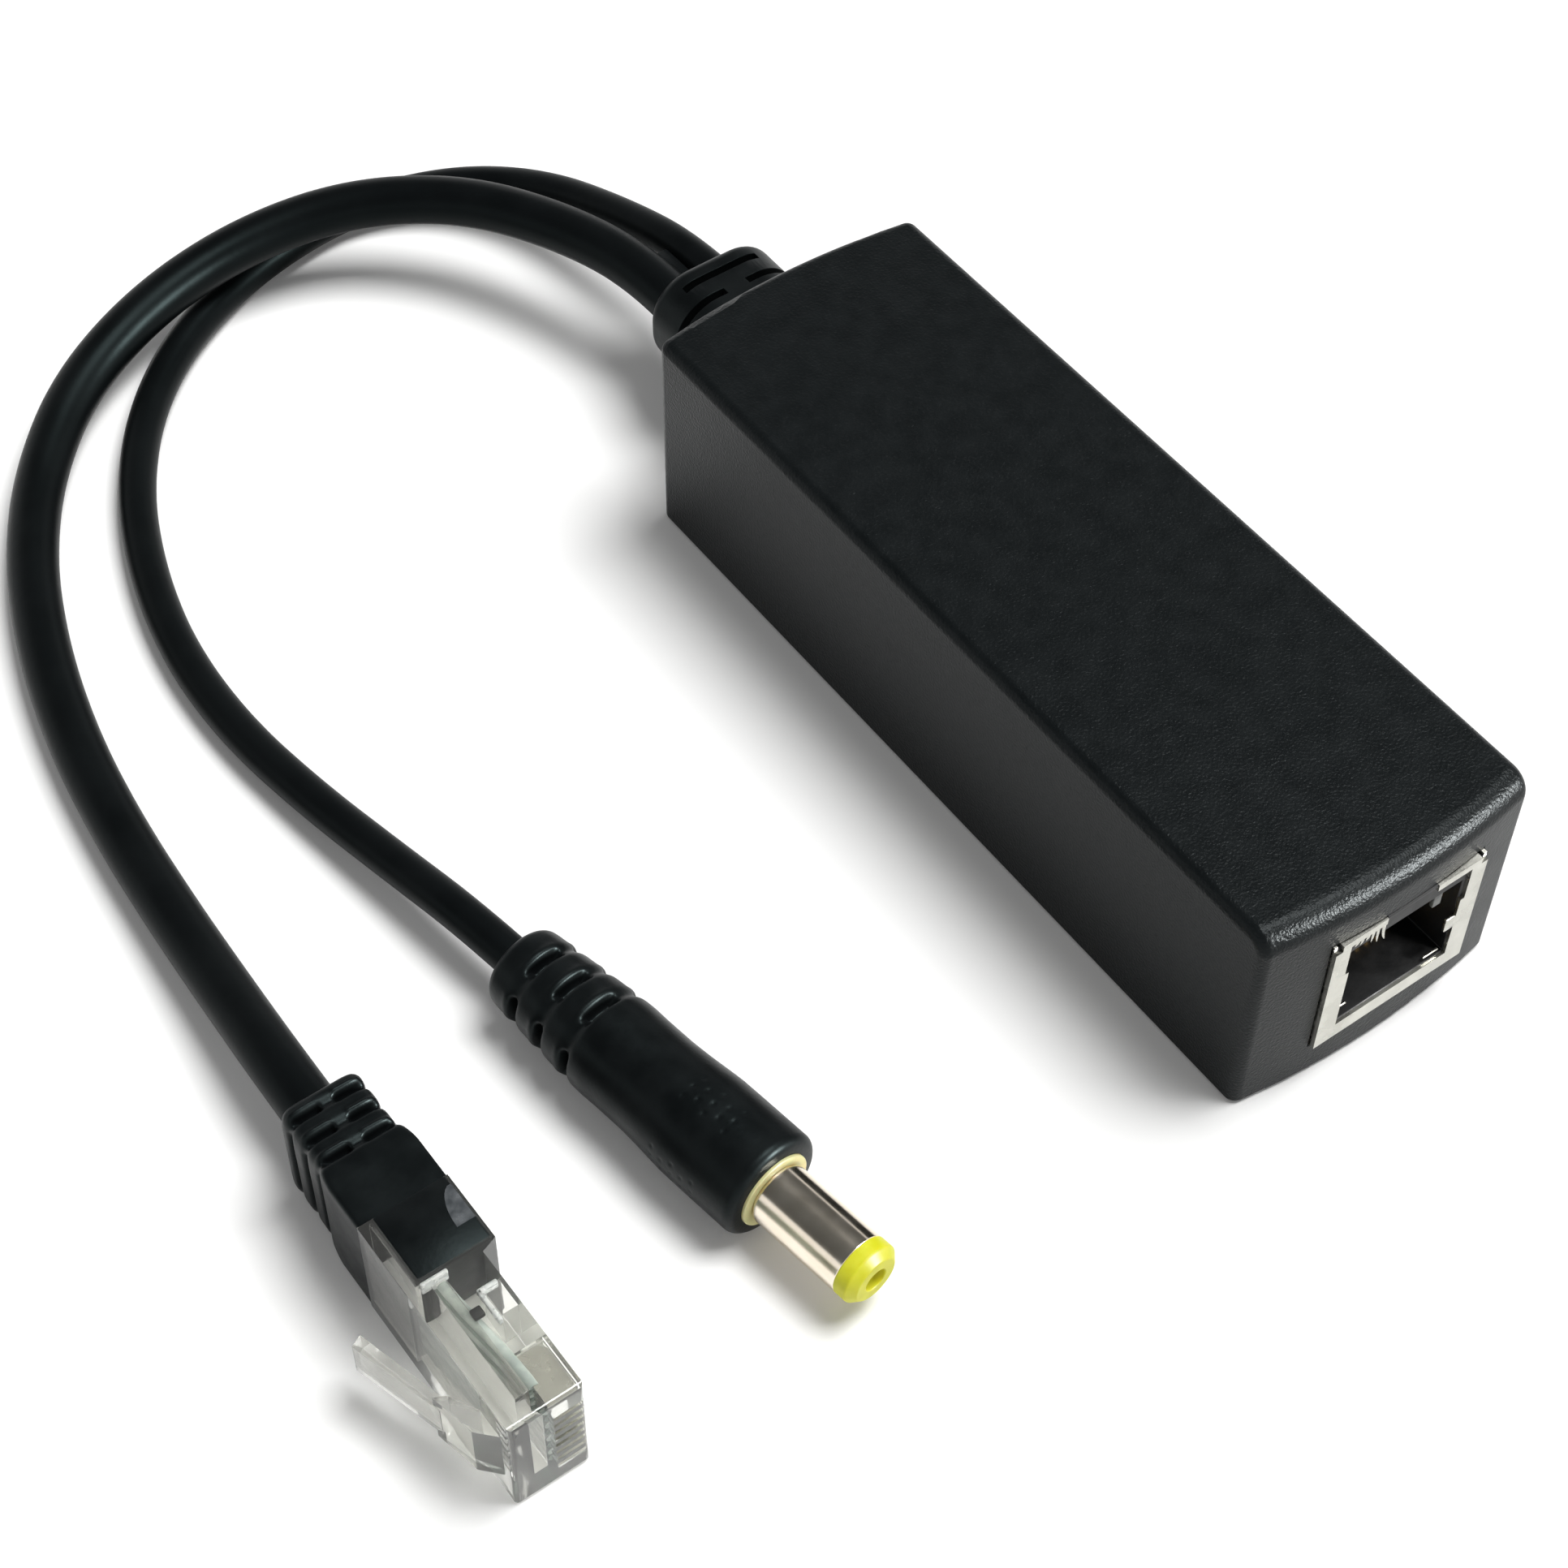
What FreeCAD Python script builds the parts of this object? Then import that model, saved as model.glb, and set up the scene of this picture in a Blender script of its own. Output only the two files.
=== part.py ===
import FreeCAD, Part
import math
import os
import Sketcher
from FreeCAD import Placement, Rotation, Vector

# A power-over-Ethernet splitter: a small moulded housing with a shielded jack in its
# front, and two short cables out of one gland at its back, ending in a network plug
# and a direct-current barrel plug.
# Frame: origin at the bottom centre of the housing, X across, Y along (jack towards -Y),
# Z up. All sizes in millimetres.

os.makedirs("parts", exist_ok=True)
doc = FreeCAD.newDocument("poe_splitter")

# Sizes that can be set by themselves. The housing is as large as what it holds asks for.
SIZES = [
    ("wall", 1.8, "housing side walls"),
    ("roof", 1.8, "housing top wall"),
    ("end_bulge", 1.25, "how far each end wall bows out"),
    ("front_radius", 2.2, "top edge over the jack"),
    ("edge_radius", 1.1, "upright corners and the other top edges"),
    ("foot_radius", 0.5, "edge round the bottom"),
    ("cover_thick", 1.6, "bottom cover plate"),
    ("cover_lip", 0.9, "housing rim left round the cover"),
    ("fit_gap", 0.1, "clearance round a seated piece"),
    ("board_thick", 1.6, "circuit board"),
    ("board_gap", 0.5, "board to each side wall"),
    ("front_gap", 0.3, "board to the front wall"),
    ("roof_gap", 1.3, "board to the roof"),
    ("side_room", 2.75, "board beside the jack, each side"),
    ("bay_length", 49.3, "board between the jack and the soldered wires"),
    ("pad_edge", 2.5, "soldered wires to the board's back edge"),
    ("gland_room", 6.7, "board to the back wall"),
    ("post_radius", 1.1, "cover posts that press the board up"),
    ("boss_radius", 1.2, "roof bosses that the board rests against"),
    ("rim_high", 0.9, "cover rim inside the walls, up"),
    ("rim_thick", 1.7, "cover rim inside the walls"),
    ("post_inset", 1.4, "post centre from the board's side edge"),
    ("post_front", 10.9, "front posts behind the jack's face"),
    ("post_back", 7.0, "back posts from the board's back edge"),
    ("port_width", 12.0, "plug opening, across"),
    ("port_height", 7.0, "plug opening, up"),
    ("port_depth", 15.0, "plug opening, inwards"),
    ("port_floor", 1.8, "plug opening above the jack's underside"),
    ("port_side", 2.05, "jack beside the plug opening, each side"),
    ("port_rear", 6.0, "jack behind the plug opening"),
    ("latch_slot_width", 6.4, "latch slot in the jack insert"),
    ("latch_slot_height", 2.2, "latch slot above the plug opening"),
    ("jack_crown", 2.5, "jack above the latch slot"),
    ("jack_shift", 0.9, "jack centre beside the housing's centre"),
    ("jack_base", 4.0, "underside of the jack above the floor"),
    ("jack_proud", 0.15, "jack face in front of the housing"),
    ("jack_hole_gap", 0.15, "housing hole round the jack"),
    ("shield_sheet", 0.3, "shield sheet metal"),
    ("frame_rise", 2.5, "shield frame's opening above the plug opening"),
    ("frame_ear", 0.4, "frame's opening wider at its top, each side"),
    ("frame_ear_high", 2.3, "wider top of the frame's opening, up"),
    ("notch_width", 5.4, "latch notch in the shield frame"),
    ("lip_depth", 2.6, "lips folded back over the frame"),
    ("lip_relief", 0.7, "bend relief at each top corner of the frame"),
    ("leg_place", 14.5, "shield legs behind the jack's face"),
    ("leg_long", 2.0, "shield legs, along"),
    ("leg_out", 0.8, "shield legs above the board"),
    ("shoulder_deep", 1.2, "insert face behind the frame beside the latch slot"),
    ("contact_pitch", 1.02, "eight contacts, middle to middle"),
    ("contact_width", 0.46, "jack contact wire, across"),
    ("contact_thick", 0.32, "jack contact wire, up"),
    ("contact_rise", 2.6, "jack contacts above the port floor at the back"),
    ("contact_start", 4.0, "fold of the contacts behind the insert's face"),
    ("gland_width", 13.4, "cable gland, across"),
    ("gland_shift", -0.3, "gland's middle beside the housing's middle"),
    ("gland_height", 10.0, "cable gland, up"),
    ("gland_length", 10.85, "cable gland outside the housing"),
    ("gland_level", 10.9, "gland centre above the floor"),
    ("gland_round", 4.4, "long edges of the gland"),
    ("gland_end_round", 1.2, "edge round the gland's end"),
    ("gland_neck", 1.2, "how much smaller the gland is in the wall, each side"),
    ("gland_flange", 1.6, "flange inside the wall"),
    ("gland_slot", 0.8, "slots across the gland"),
    ("gland_step", 2.5, "gland slots, middle to middle"),
    ("gland_rim", 2.4, "first slot from the gland's end"),
    ("gland_slot_deep", 1.5, "gland slots, inwards"),
    ("gland_slot_side", 2.6, "gland slots stop short of the gland's sides"),
    ("gland_bridge", 1.2, "web between the side slots, each side of the middle"),
    ("network_dia", 4.7, "network cable"),
    ("power_dia", 3.5, "power cable"),
    ("network_side", 3.2, "network cable beside the housing's middle"),
    ("power_side", 2.1, "power cable beside the housing's middle"),
    ("bore_gap", 0.05, "gland bore round each cable"),
    ("tail_out", 2.5, "jackets inside the housing"),
    ("wire_dia", 0.9, "data wire"),
    ("wire_ring", 1.55, "data wires round the cable's middle"),
    ("wire_straight", 1.4, "wires straight out of the jackets"),
    ("lead_dia", 1.4, "power wire"),
    ("lead_side", 0.85, "power wires beside the cable's middle"),
    ("pad_inset", 2.4, "outer soldered wire from the board's side edge"),
    ("pad_step", 1.6, "data wires, middle to middle at the board"),
    ("lead_step", 2.6, "power wires, middle to middle at the board"),
    ("plug_width", 11.68, "network plug, across its eight contacts"),
    ("plug_nose", 6.5, "network plug, thickness of the nose"),
    ("plug_thick", 7.9, "network plug, thickness at the back"),
    ("plug_length", 20.5, "clear part of the network plug"),
    ("nose_length", 13.4, "nose of the network plug"),
    ("nose_step", 0.5, "slope between nose and back"),
    ("nose_round", 0.5, "edge round the front face"),
    ("plug_wall", 1.0, "clear walls round the moulded core"),
    ("core_gap", 0.05, "moulded core to the clear walls"),
    ("core_end", 0.7, "moulded core stops behind the nose"),
    ("chamber_thick", 1.2, "wire chamber in the nose, up"),
    ("chamber_front", 2.4, "wire chamber from the front face"),
    ("crimp_deep", 1.4, "crimp window, inwards"),
    ("crimp_long", 2.6, "crimp window, along"),
    ("crimp_place", 8.8, "crimp window from the front face"),
    ("plug_slot", 0.42, "contact slots in the nose"),
    ("blade_thick", 0.3, "gold contact blades"),
    ("blade_deep", 2.8, "contact slots, inwards"),
    ("blade_long", 5.6, "contact slots, along the plug"),
    ("blade_under", 0.2, "blades below the nose's surface"),
    ("latch_root_width", 6.0, "plug latch at its root"),
    ("latch_width", 3.6, "plug latch finger"),
    ("latch_thick", 1.0, "plug latch"),
    ("latch_root", 1.0, "root of the latch from the plug's front"),
    ("latch_root_long", 2.4, "root of the latch, along"),
    ("latch_shoulder", 6.4, "shoulders of the latch from the plug's front"),
    ("latch_reach", 14.9, "free end of the latch from the plug's front"),
    ("latch_lift", 4.6, "free end of the latch off the plug"),
    ("boot_length", 12.4, "moulded boot behind the clear plug"),
    ("boot_thick", 7.3, "boot thickness at its slotted end"),
    ("boot_round", 1.2, "upright corners at the boot's end"),
    ("boot_rim_round", 0.5, "edges of the boot"),
    ("boot_slot", 0.9, "slots in the boot"),
    ("boot_step", 2.15, "slots in the boot, middle to middle"),
    ("boot_rim", 1.25, "first boot slot from the boot's end"),
    ("boot_slot_deep", 1.3, "boot slots, inwards"),
    ("boot_side", 1.2, "boot slots from the boot's faces"),
    ("boot_web", 1.0, "web between the two rows of boot slots"),
    ("boot_notch", 0.6, "slots across the boot's back edge, inwards"),
    ("plug_left", -79.5, "latch face of the network plug"),
    ("plug_front", -35.6, "front face of the network plug"),
    ("handle_length", 29.6, "barrel plug handle"),
    ("handle_dia", 9.6, "barrel plug handle at its front"),
    ("handle_neck_dia", 8.7, "barrel plug handle in front of its slots"),
    ("handle_tail_dia", 7.2, "barrel plug handle at its end"),
    ("handle_full", 17.8, "where the handle reaches its full size"),
    ("handle_round", 0.9, "edge round the handle's face"),
    ("handle_slot", 1.1, "slots in the handle"),
    ("handle_slot_long", 3.4, "slots in the handle, around"),
    ("handle_step", 3.1, "slots in the handle, middle to middle"),
    ("handle_rim", 3.0, "first handle slot from the handle's end"),
    ("handle_slot_deep", 1.4, "handle slots, inwards"),
    ("collar_dia", 6.8, "yellow collar at the handle's face"),
    ("collar_out", 0.25, "collar in front of the handle's face"),
    ("barrel_dia", 5.5, "barrel, outside"),
    ("barrel_wall", 0.45, "barrel tube wall"),
    ("barrel_step", 0.25, "barrel root smaller than the barrel, each side"),
    ("barrel_gap", 0.25, "barrel's full size starts in front of the collar"),
    ("barrel_length", 9.2, "barrel in front of the handle"),
    ("barrel_root", 9.0, "barrel inside the handle"),
    ("tip_length", 1.9, "yellow tip in front of the barrel"),
    ("tip_round", 0.7, "edge round the yellow tip"),
    ("tip_land", 0.8, "tip in front of the centre contact"),
    ("pin_bore", 2.1, "hole for the centre pin"),
    ("sleeve_wall", 0.25, "centre contact sleeve"),
    ("dc_end_x", -54.4, "end of the handle, across"),
    ("dc_end_y", 2.2, "end of the handle, along"),
    ("dc_angle", 8.3, "barrel plug turned towards +X, degrees"),
    ("part_gap", 0.4, "parts from the posts and from each other"),
    ("edge_room", 0.9, "parts from the board's side edges"),
    ("lead_sheet", 0.2, "leads of the packs"),
    ("lead_reach", 1.25, "leads beside the packs"),
    ("lead_foot", 0.5, "feet of the leads"),
    ("pack_lift", 0.15, "packs off the board"),
    ("magnetics_long", 12.7, "network transformer pack, along"),
    ("magnetics_wide", 7.1, "network transformer pack, across"),
    ("magnetics_high", 5.0, "network transformer pack, below the board"),
    ("magnetics_step", 1.27, "network transformer leads, middle to middle"),
    ("magnetics_lead", 0.5, "network transformer leads, along"),
    ("bridge_long", 4.7, "bridge rectifier, along"),
    ("bridge_wide", 3.9, "bridge rectifier, across"),
    ("bridge_high", 2.5, "bridge rectifier, below the board"),
    ("bridge_step", 2.54, "bridge rectifier leads, middle to middle"),
    ("bridge_lead", 0.7, "bridge rectifier leads, along"),
    ("controller_long", 4.9, "controller chip, along"),
    ("controller_wide", 3.9, "controller chip, across"),
    ("controller_high", 1.6, "controller chip, below the board"),
    ("controller_step", 1.27, "controller leads, middle to middle"),
    ("controller_lead", 0.42, "controller leads, along"),
    ("diode_long", 3.6, "output diode, along"),
    ("diode_wide", 4.6, "output diode, across"),
    ("diode_high", 2.3, "output diode, below the board"),
    ("diode_lead", 2.0, "output diode leads, along"),
    ("opto_long", 4.6, "optocoupler, along"),
    ("opto_wide", 4.4, "optocoupler, across"),
    ("opto_high", 2.2, "optocoupler, below the board"),
    ("opto_step", 2.54, "optocoupler leads, middle to middle"),
    ("opto_lead", 0.5, "optocoupler leads, along"),
    ("core_size", 10.8, "power transformer core, square"),
    ("core_leg", 3.2, "power transformer core, middle leg"),
    ("core_wall", 1.7, "power transformer core, outer legs"),
    ("core_depth", 5.8, "core centre below the board"),
    ("bobbin_rail", 2.2, "pin rails of the bobbin"),
    ("bobbin_lift", 1.0, "pin rails off the board"),
    ("bobbin_pin", 0.6, "bobbin pins"),
    ("bulk_dia", 8.0, "input capacitor"),
    ("bulk_high", 12.0, "input capacitor"),
    ("output_dia", 6.3, "output capacitor"),
    ("output_high", 11.0, "output capacitor"),
    ("can_groove", 0.35, "rolled groove of the capacitors, inwards"),
    ("can_groove_place", 1.6, "rolled groove from the board"),
    ("choke_dia", 8.0, "output choke"),
    ("choke_high", 8.5, "output choke"),
    ("choke_disc", 1.2, "end discs of the choke"),
    ("choke_waist", 4.0, "waist of the choke"),
    ("choke_inset", 0.4, "winding inside the choke's discs"),
    ("chip_long", 2.0, "small chip parts, along"),
    ("chip_wide", 1.25, "small chip parts, across"),
    ("chip_high", 0.6, "small chip parts, below the board"),
    ("chip_step", 3.6, "small chip parts, middle to middle"),
    ("chip_lane", 1.6, "row of small chip parts beside the middle"),
]

sheet = doc.addObject("Spreadsheet::Sheet", "Sizes")
for row, (name, value, note) in enumerate(SIZES, start=1):
    sheet.set("A%d" % row, note)
    sheet.set("B%d" % row, str(value))
    sheet.setAlias("B%d" % row, name)
doc.recompute()

NAMES = sorted((name for name, value, note in SIZES), key=len, reverse=True)


def number(expression):
    """The value of an expression in the sheet's names."""
    return float(sheet.evalExpression(expression))


def linked(expression):
    """The same expression as another object writes it, with the sheet's name in front."""
    words, word = [], ""
    for letter in expression + " ":
        if letter.isalnum() or letter == "_":
            word += letter
        else:
            words.append("Sizes." + word if word in NAMES else word)
            words.append(letter)
            word = ""
    return "".join(words).strip()


# Sizes and places that follow from them
JACK_WIDTH = "(port_width + 2 * port_side)"
JACK_HEIGHT = "(port_floor + port_height + latch_slot_height + jack_crown)"
JACK_DEPTH = "(port_depth + port_rear + shield_sheet)"
BOARD_HALF = "(%s / 2 + jack_shift + side_room)" % JACK_WIDTH
CASE_HALF = "(%s + board_gap + wall)" % BOARD_HALF
CASE_HEIGHT = "(jack_base + %s + board_thick + roof_gap + roof)" % JACK_HEIGHT
HALF_LENGTH = ("((%s + bay_length + pad_edge + gland_room + wall - end_bulge - jack_proud)"
               " / 2)" % JACK_DEPTH)
ROOF_UNDER = "(%s - roof)" % CASE_HEIGHT
CROWN = "(%s + end_bulge)" % HALF_LENGTH
JACK_LEFT = "(jack_shift - %s / 2)" % JACK_WIDTH
JACK_RIGHT = "(jack_shift + %s / 2)" % JACK_WIDTH
JACK_TOP = "(jack_base + %s)" % JACK_HEIGHT
BOARD_TOP = "(%s + board_thick)" % JACK_TOP
JACK_FACE = "(-(%s) - jack_proud)" % CROWN
JACK_BACK = "(%s + %s)" % (JACK_FACE, JACK_DEPTH)
INSERT_FACE = "(%s + shield_sheet)" % JACK_FACE
PORT_LOW = "(jack_base + port_floor)"
PORT_TOP = "(%s + port_height)" % PORT_LOW
FRAME_TOP = "(%s + frame_rise)" % PORT_TOP
PORT_BACK = "(%s + port_depth)" % INSERT_FACE
PADS = "(%s + bay_length)" % JACK_BACK
BOARD_FRONT = "(-%s + wall + front_gap)" % HALF_LENGTH
BOARD_BACK = "(%s + pad_edge)" % PADS
POST_SIDE = "(%s - post_inset)" % BOARD_HALF
POSTS = [("%s%s" % (side, POST_SIDE), end) for side in ("-", "")
         for end in ("%s + post_front" % JACK_FACE, "%s - post_back" % BOARD_BACK)]
GLAND_ROOT = "(%s + fit_gap)" % CROWN
GLAND_END = "(%s + gland_length)" % GLAND_ROOT
GLAND_LEFT = "(gland_shift - gland_width / 2)"
GLAND_RIGHT = "(gland_shift + gland_width / 2)"
GLAND_INNER = ("(%s - wall + end_bulge * (1 - (%s / (%s - wall))^2) - fit_gap)"
               % (HALF_LENGTH, GLAND_LEFT, CASE_HALF))
GLAND_LOW = "(gland_level - gland_height / 2)"
GLAND_HIGH = "(gland_level + gland_height / 2)"
TAIL_END = "(%s - gland_flange - tail_out)" % GLAND_INNER
PLUG_MIDDLE = "(plug_width / 2)"
BOOT_END = "(plug_length + boot_length)"
HANDLE_LEVEL = "(handle_dia / 2)"
BARREL_END = "(handle_length + barrel_length)"


def bind(thing, field, expression):
    thing.setExpression(field, linked(expression))


def place(thing, x="0", y="0", z="0"):
    bind(thing, "Placement.Base.x", x)
    bind(thing, "Placement.Base.y", y)
    bind(thing, "Placement.Base.z", z)


def new_body(name):
    body = doc.addObject("PartDesign::Body", name)
    body.Label = name
    return body


def new_sketch(body, name, role="XY_Plane", offset="0"):
    """A sketch on one of the body's own planes, moved along its normal."""
    sketch = body.newObject("Sketcher::SketchObject", body.Name + "_" + name)
    plane = [f for f in body.Origin.OriginFeatures if f.Role == role][0]
    sketch.AttachmentSupport = [(plane, "")]
    sketch.MapMode = "FlatFace"
    bind(sketch, "AttachmentOffset.Base.z", offset)
    return sketch


def lock(sketch, geo, point, x, y):
    """Hold one point of the sketch at x, y."""
    for kind, expression in (("DistanceX", x), ("DistanceY", y)):
        index = sketch.addConstraint(
            Sketcher.Constraint(kind, -1, 1, geo, point, number(expression)))
        bind(sketch, "Constraints[%d]" % index, expression)


def rectangle(sketch, x0, y0, x1, y1):
    """Four lines held by two opposite corners."""
    a = Vector(number(x0), number(y0), 0)
    c = Vector(number(x1), number(y1), 0)
    corners = [a, Vector(c.x, a.y, 0), c, Vector(a.x, c.y, 0)]
    first = sketch.GeometryCount
    for i in range(4):
        sketch.addGeometry(Part.LineSegment(corners[i], corners[(i + 1) % 4]))
    for i in range(4):
        sketch.addConstraint(
            Sketcher.Constraint("Coincident", first + i, 2, first + (i + 1) % 4, 1))
        sketch.addConstraint(
            Sketcher.Constraint("Horizontal" if i % 2 == 0 else "Vertical", first + i))
    lock(sketch, first, 1, x0, y0)
    lock(sketch, first + 2, 1, x1, y1)


def polygon(sketch, corners):
    """Straight lines through corners, each held in place."""
    points = [Vector(number(x), number(y), 0) for x, y in corners]
    first = sketch.GeometryCount
    count = len(points)
    for i in range(count):
        sketch.addGeometry(Part.LineSegment(points[i], points[(i + 1) % count]))
    for i in range(count):
        sketch.addConstraint(
            Sketcher.Constraint("Coincident", first + i, 2, first + (i + 1) % count, 1))
    for i, (x, y) in enumerate(corners):
        lock(sketch, first + i, 1, x, y)


def circle(sketch, x, y, radius):
    geo = sketch.addGeometry(
        Part.Circle(Vector(number(x), number(y), 0), Vector(0, 0, 1), number(radius)))
    lock(sketch, geo, 3, x, y)
    index = sketch.addConstraint(Sketcher.Constraint("Radius", geo, number(radius)))
    bind(sketch, "Constraints[%d]" % index, radius)


def bowed(sketch, half_width, half_length, bulge):
    """The housing's plan: straight sides and two ends that bow out."""
    w, l, s = number(half_width), number(half_length), number(bulge)
    right = sketch.addGeometry(Part.LineSegment(Vector(w, -l, 0), Vector(w, l, 0)))
    back = sketch.addGeometry(
        Part.Arc(Vector(w, l, 0), Vector(0, l + s, 0), Vector(-w, l, 0)))
    left = sketch.addGeometry(Part.LineSegment(Vector(-w, l, 0), Vector(-w, -l, 0)))
    front = sketch.addGeometry(
        Part.Arc(Vector(-w, -l, 0), Vector(0, -l - s, 0), Vector(w, -l, 0)))
    radius = "(({0})^2 + ({1})^2) / (2 * ({1}))".format(half_width, bulge)
    for a, b, c, d in ((right, 2, back, 1), (back, 2, left, 1),
                       (left, 2, front, 1), (front, 2, right, 1)):
        sketch.addConstraint(Sketcher.Constraint("Coincident", a, b, c, d))
    lock(sketch, right, 1, half_width, "-(%s)" % half_length)
    lock(sketch, right, 2, half_width, half_length)
    lock(sketch, left, 1, "-(%s)" % half_width, half_length)
    lock(sketch, left, 2, "-(%s)" % half_width, "-(%s)" % half_length)
    for arc in (back, front):
        index = sketch.addConstraint(Sketcher.Constraint("Radius", arc, number(radius)))
        bind(sketch, "Constraints[%d]" % index, radius)


def pad(body, sketch, length, reverse=False, middle=False):
    feature = body.newObject("PartDesign::Pad", sketch.Name + "_pad")
    feature.Profile = sketch
    bind(feature, "Length", length)
    feature.Reversed = reverse
    feature.Midplane = middle
    sketch.Visibility = False
    return feature


def pocket(body, sketch, length, reverse=False, middle=False):
    """Cut a sketch into the body, and make sure that it took something away."""
    doc.recompute()
    before = body.Shape.Volume
    feature = body.newObject("PartDesign::Pocket", sketch.Name + "_pocket")
    feature.Profile = sketch
    bind(feature, "Length", length)
    feature.Reversed = reverse
    feature.Midplane = middle
    doc.recompute()
    if body.Shape.Volume > before - 1e-6:
        raise RuntimeError(feature.Name + " cuts nothing")
    return feature


def row_of(body, feature, role, length, count, reverse=False):
    """Copies of a feature in a straight row along an axis of the body."""
    doc.recompute()
    pattern = body.newObject("PartDesign::LinearPattern", feature.Name + "_row")
    pattern.Originals = [feature]
    axis = [f for f in body.Origin.OriginFeatures if f.Role == role][0]
    pattern.Direction = (axis, [""])
    bind(pattern, "Length", length)
    pattern.Occurrences = count
    pattern.Reversed = reverse
    body.Tip = pattern
    return pattern


def ring_of(body, feature, role, count):
    """Copies of a feature round an axis of the body."""
    doc.recompute()
    pattern = body.newObject("PartDesign::PolarPattern", feature.Name + "_ring")
    pattern.Originals = [feature]
    axis = [f for f in body.Origin.OriginFeatures if f.Role == role][0]
    pattern.Axis = (axis, [""])
    pattern.Angle = 360
    pattern.Occurrences = count
    body.Tip = pattern
    return pattern


def revolve(body, sketch, role="X_Axis"):
    feature = body.newObject("PartDesign::Revolution", sketch.Name + "_turned")
    feature.Profile = sketch
    axis = [f for f in body.Origin.OriginFeatures if f.Role == role][0]
    feature.ReferenceAxis = (axis, [""])
    feature.Angle = 360
    return feature


def round_edges(body, name, radius, chosen, kind="Fillet"):
    """Fillet or chamfer the body's edges for which chosen(edge) is true."""
    doc.recompute()
    base = body.Tip
    names = ["Edge%d" % (i + 1) for i, e in enumerate(base.Shape.Edges) if chosen(e)]
    feature = body.newObject("PartDesign::" + kind, body.Name + "_" + name)
    feature.Base = (base, names)
    bind(feature, "Radius" if kind == "Fillet" else "Size", radius)
    body.Tip = feature
    return feature


def along(edge, axis):
    """True for a straight edge parallel to an axis."""
    if len(edge.Vertexes) < 2 or edge.Curve.TypeId != "Part::GeomLine":
        return False
    run = edge.Vertexes[1].Point.sub(edge.Vertexes[0].Point).normalize()
    return abs(abs(run.dot(axis)) - 1) < 1e-6


def three_points(edge):
    """The start, middle and end of an edge."""
    first, last = edge.ParameterRange
    return [edge.valueAt(first + (last - first) * t) for t in (0, 0.5, 1)]


def at_level(edge, field, level):
    """True for an edge that lies wholly at one x, y or z."""
    box = edge.BoundBox
    low, high = getattr(box, field + "Min"), getattr(box, field + "Max")
    return abs(low - level) < 1e-4 and abs(high - level) < 1e-4


def box(name, size, corner):
    """A block with its size and lower corner tied to the sheet."""
    block = doc.addObject("Part::Box", name)
    for field, expression in zip(("Length", "Width", "Height"), size):
        bind(block, field, expression)
    place(block, *corner)
    return block


X, Y, Z = Vector(1, 0, 0), Vector(0, 1, 0), Vector(0, 0, 1)

# Housing: one five-sided moulding, open below

housing = new_body("housing_shell")
plan = new_sketch(housing, "plan")
bowed(plan, CASE_HALF, HALF_LENGTH, "end_bulge")
pad(housing, plan, CASE_HEIGHT)
round_edges(housing, "front_top", "front_radius",
            lambda e: all(abs(p.z - number(CASE_HEIGHT)) < 1e-4 and p.y < 0
                          for p in three_points(e)) and not along(e, Y))


def on_outer_edge(edge):
    """True for the upright corners, the long top edges and the top edge at the back."""
    points = three_points(edge)
    if all(p.z < 1e-4 for p in points):
        return False
    beside = all(abs(abs(p.x) - number(CASE_HALF)) < 1e-4 for p in points)
    back = all(abs(p.z - number(CASE_HEIGHT)) < 1e-4
               and p.y > number(HALF_LENGTH) - 1e-4 for p in points)
    return beside or back


round_edges(housing, "edges", "edge_radius", on_outer_edge)
round_edges(housing, "foot", "foot_radius", lambda e: at_level(e, "Z", 0))

room = new_sketch(housing, "room")
bowed(room, CASE_HALF + " - wall", HALF_LENGTH + " - wall", "end_bulge")
pocket(housing, room, ROOF_UNDER, reverse=True)
seat = new_sketch(housing, "seat")
bowed(seat, CASE_HALF + " - cover_lip", HALF_LENGTH + " - cover_lip", "end_bulge")
pocket(housing, seat, "cover_thick", reverse=True)

# Roof bosses that the board rests against
bosses = new_sketch(housing, "bosses", offset=ROOF_UNDER)
for x, y in POSTS:
    circle(bosses, x, y, "boss_radius")
pad(housing, bosses, "roof_gap", reverse=True)

# Hole for the jack in the front wall, and for the gland's neck in the back wall
jack_hole = new_sketch(housing, "jack_hole", "XZ_Plane", CROWN + " + 1")
rectangle(jack_hole, JACK_LEFT + " - jack_hole_gap", "jack_base - jack_hole_gap",
          JACK_RIGHT + " + jack_hole_gap", JACK_TOP + " + jack_hole_gap")
pocket(housing, jack_hole, "wall + end_bulge + 2")
gland_hole = new_sketch(housing, "gland_hole", "XZ_Plane", "-" + CROWN + " - 1")
rectangle(gland_hole,
          GLAND_LEFT + " + gland_neck - fit_gap", GLAND_LOW + " + gland_neck - fit_gap",
          GLAND_RIGHT + " - gland_neck + fit_gap", GLAND_HIGH + " - gland_neck + fit_gap")
pocket(housing, gland_hole, "wall + end_bulge + 2", reverse=True)

# Bottom cover: a flat plate let into the housing's rim, with four posts under the board

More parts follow.
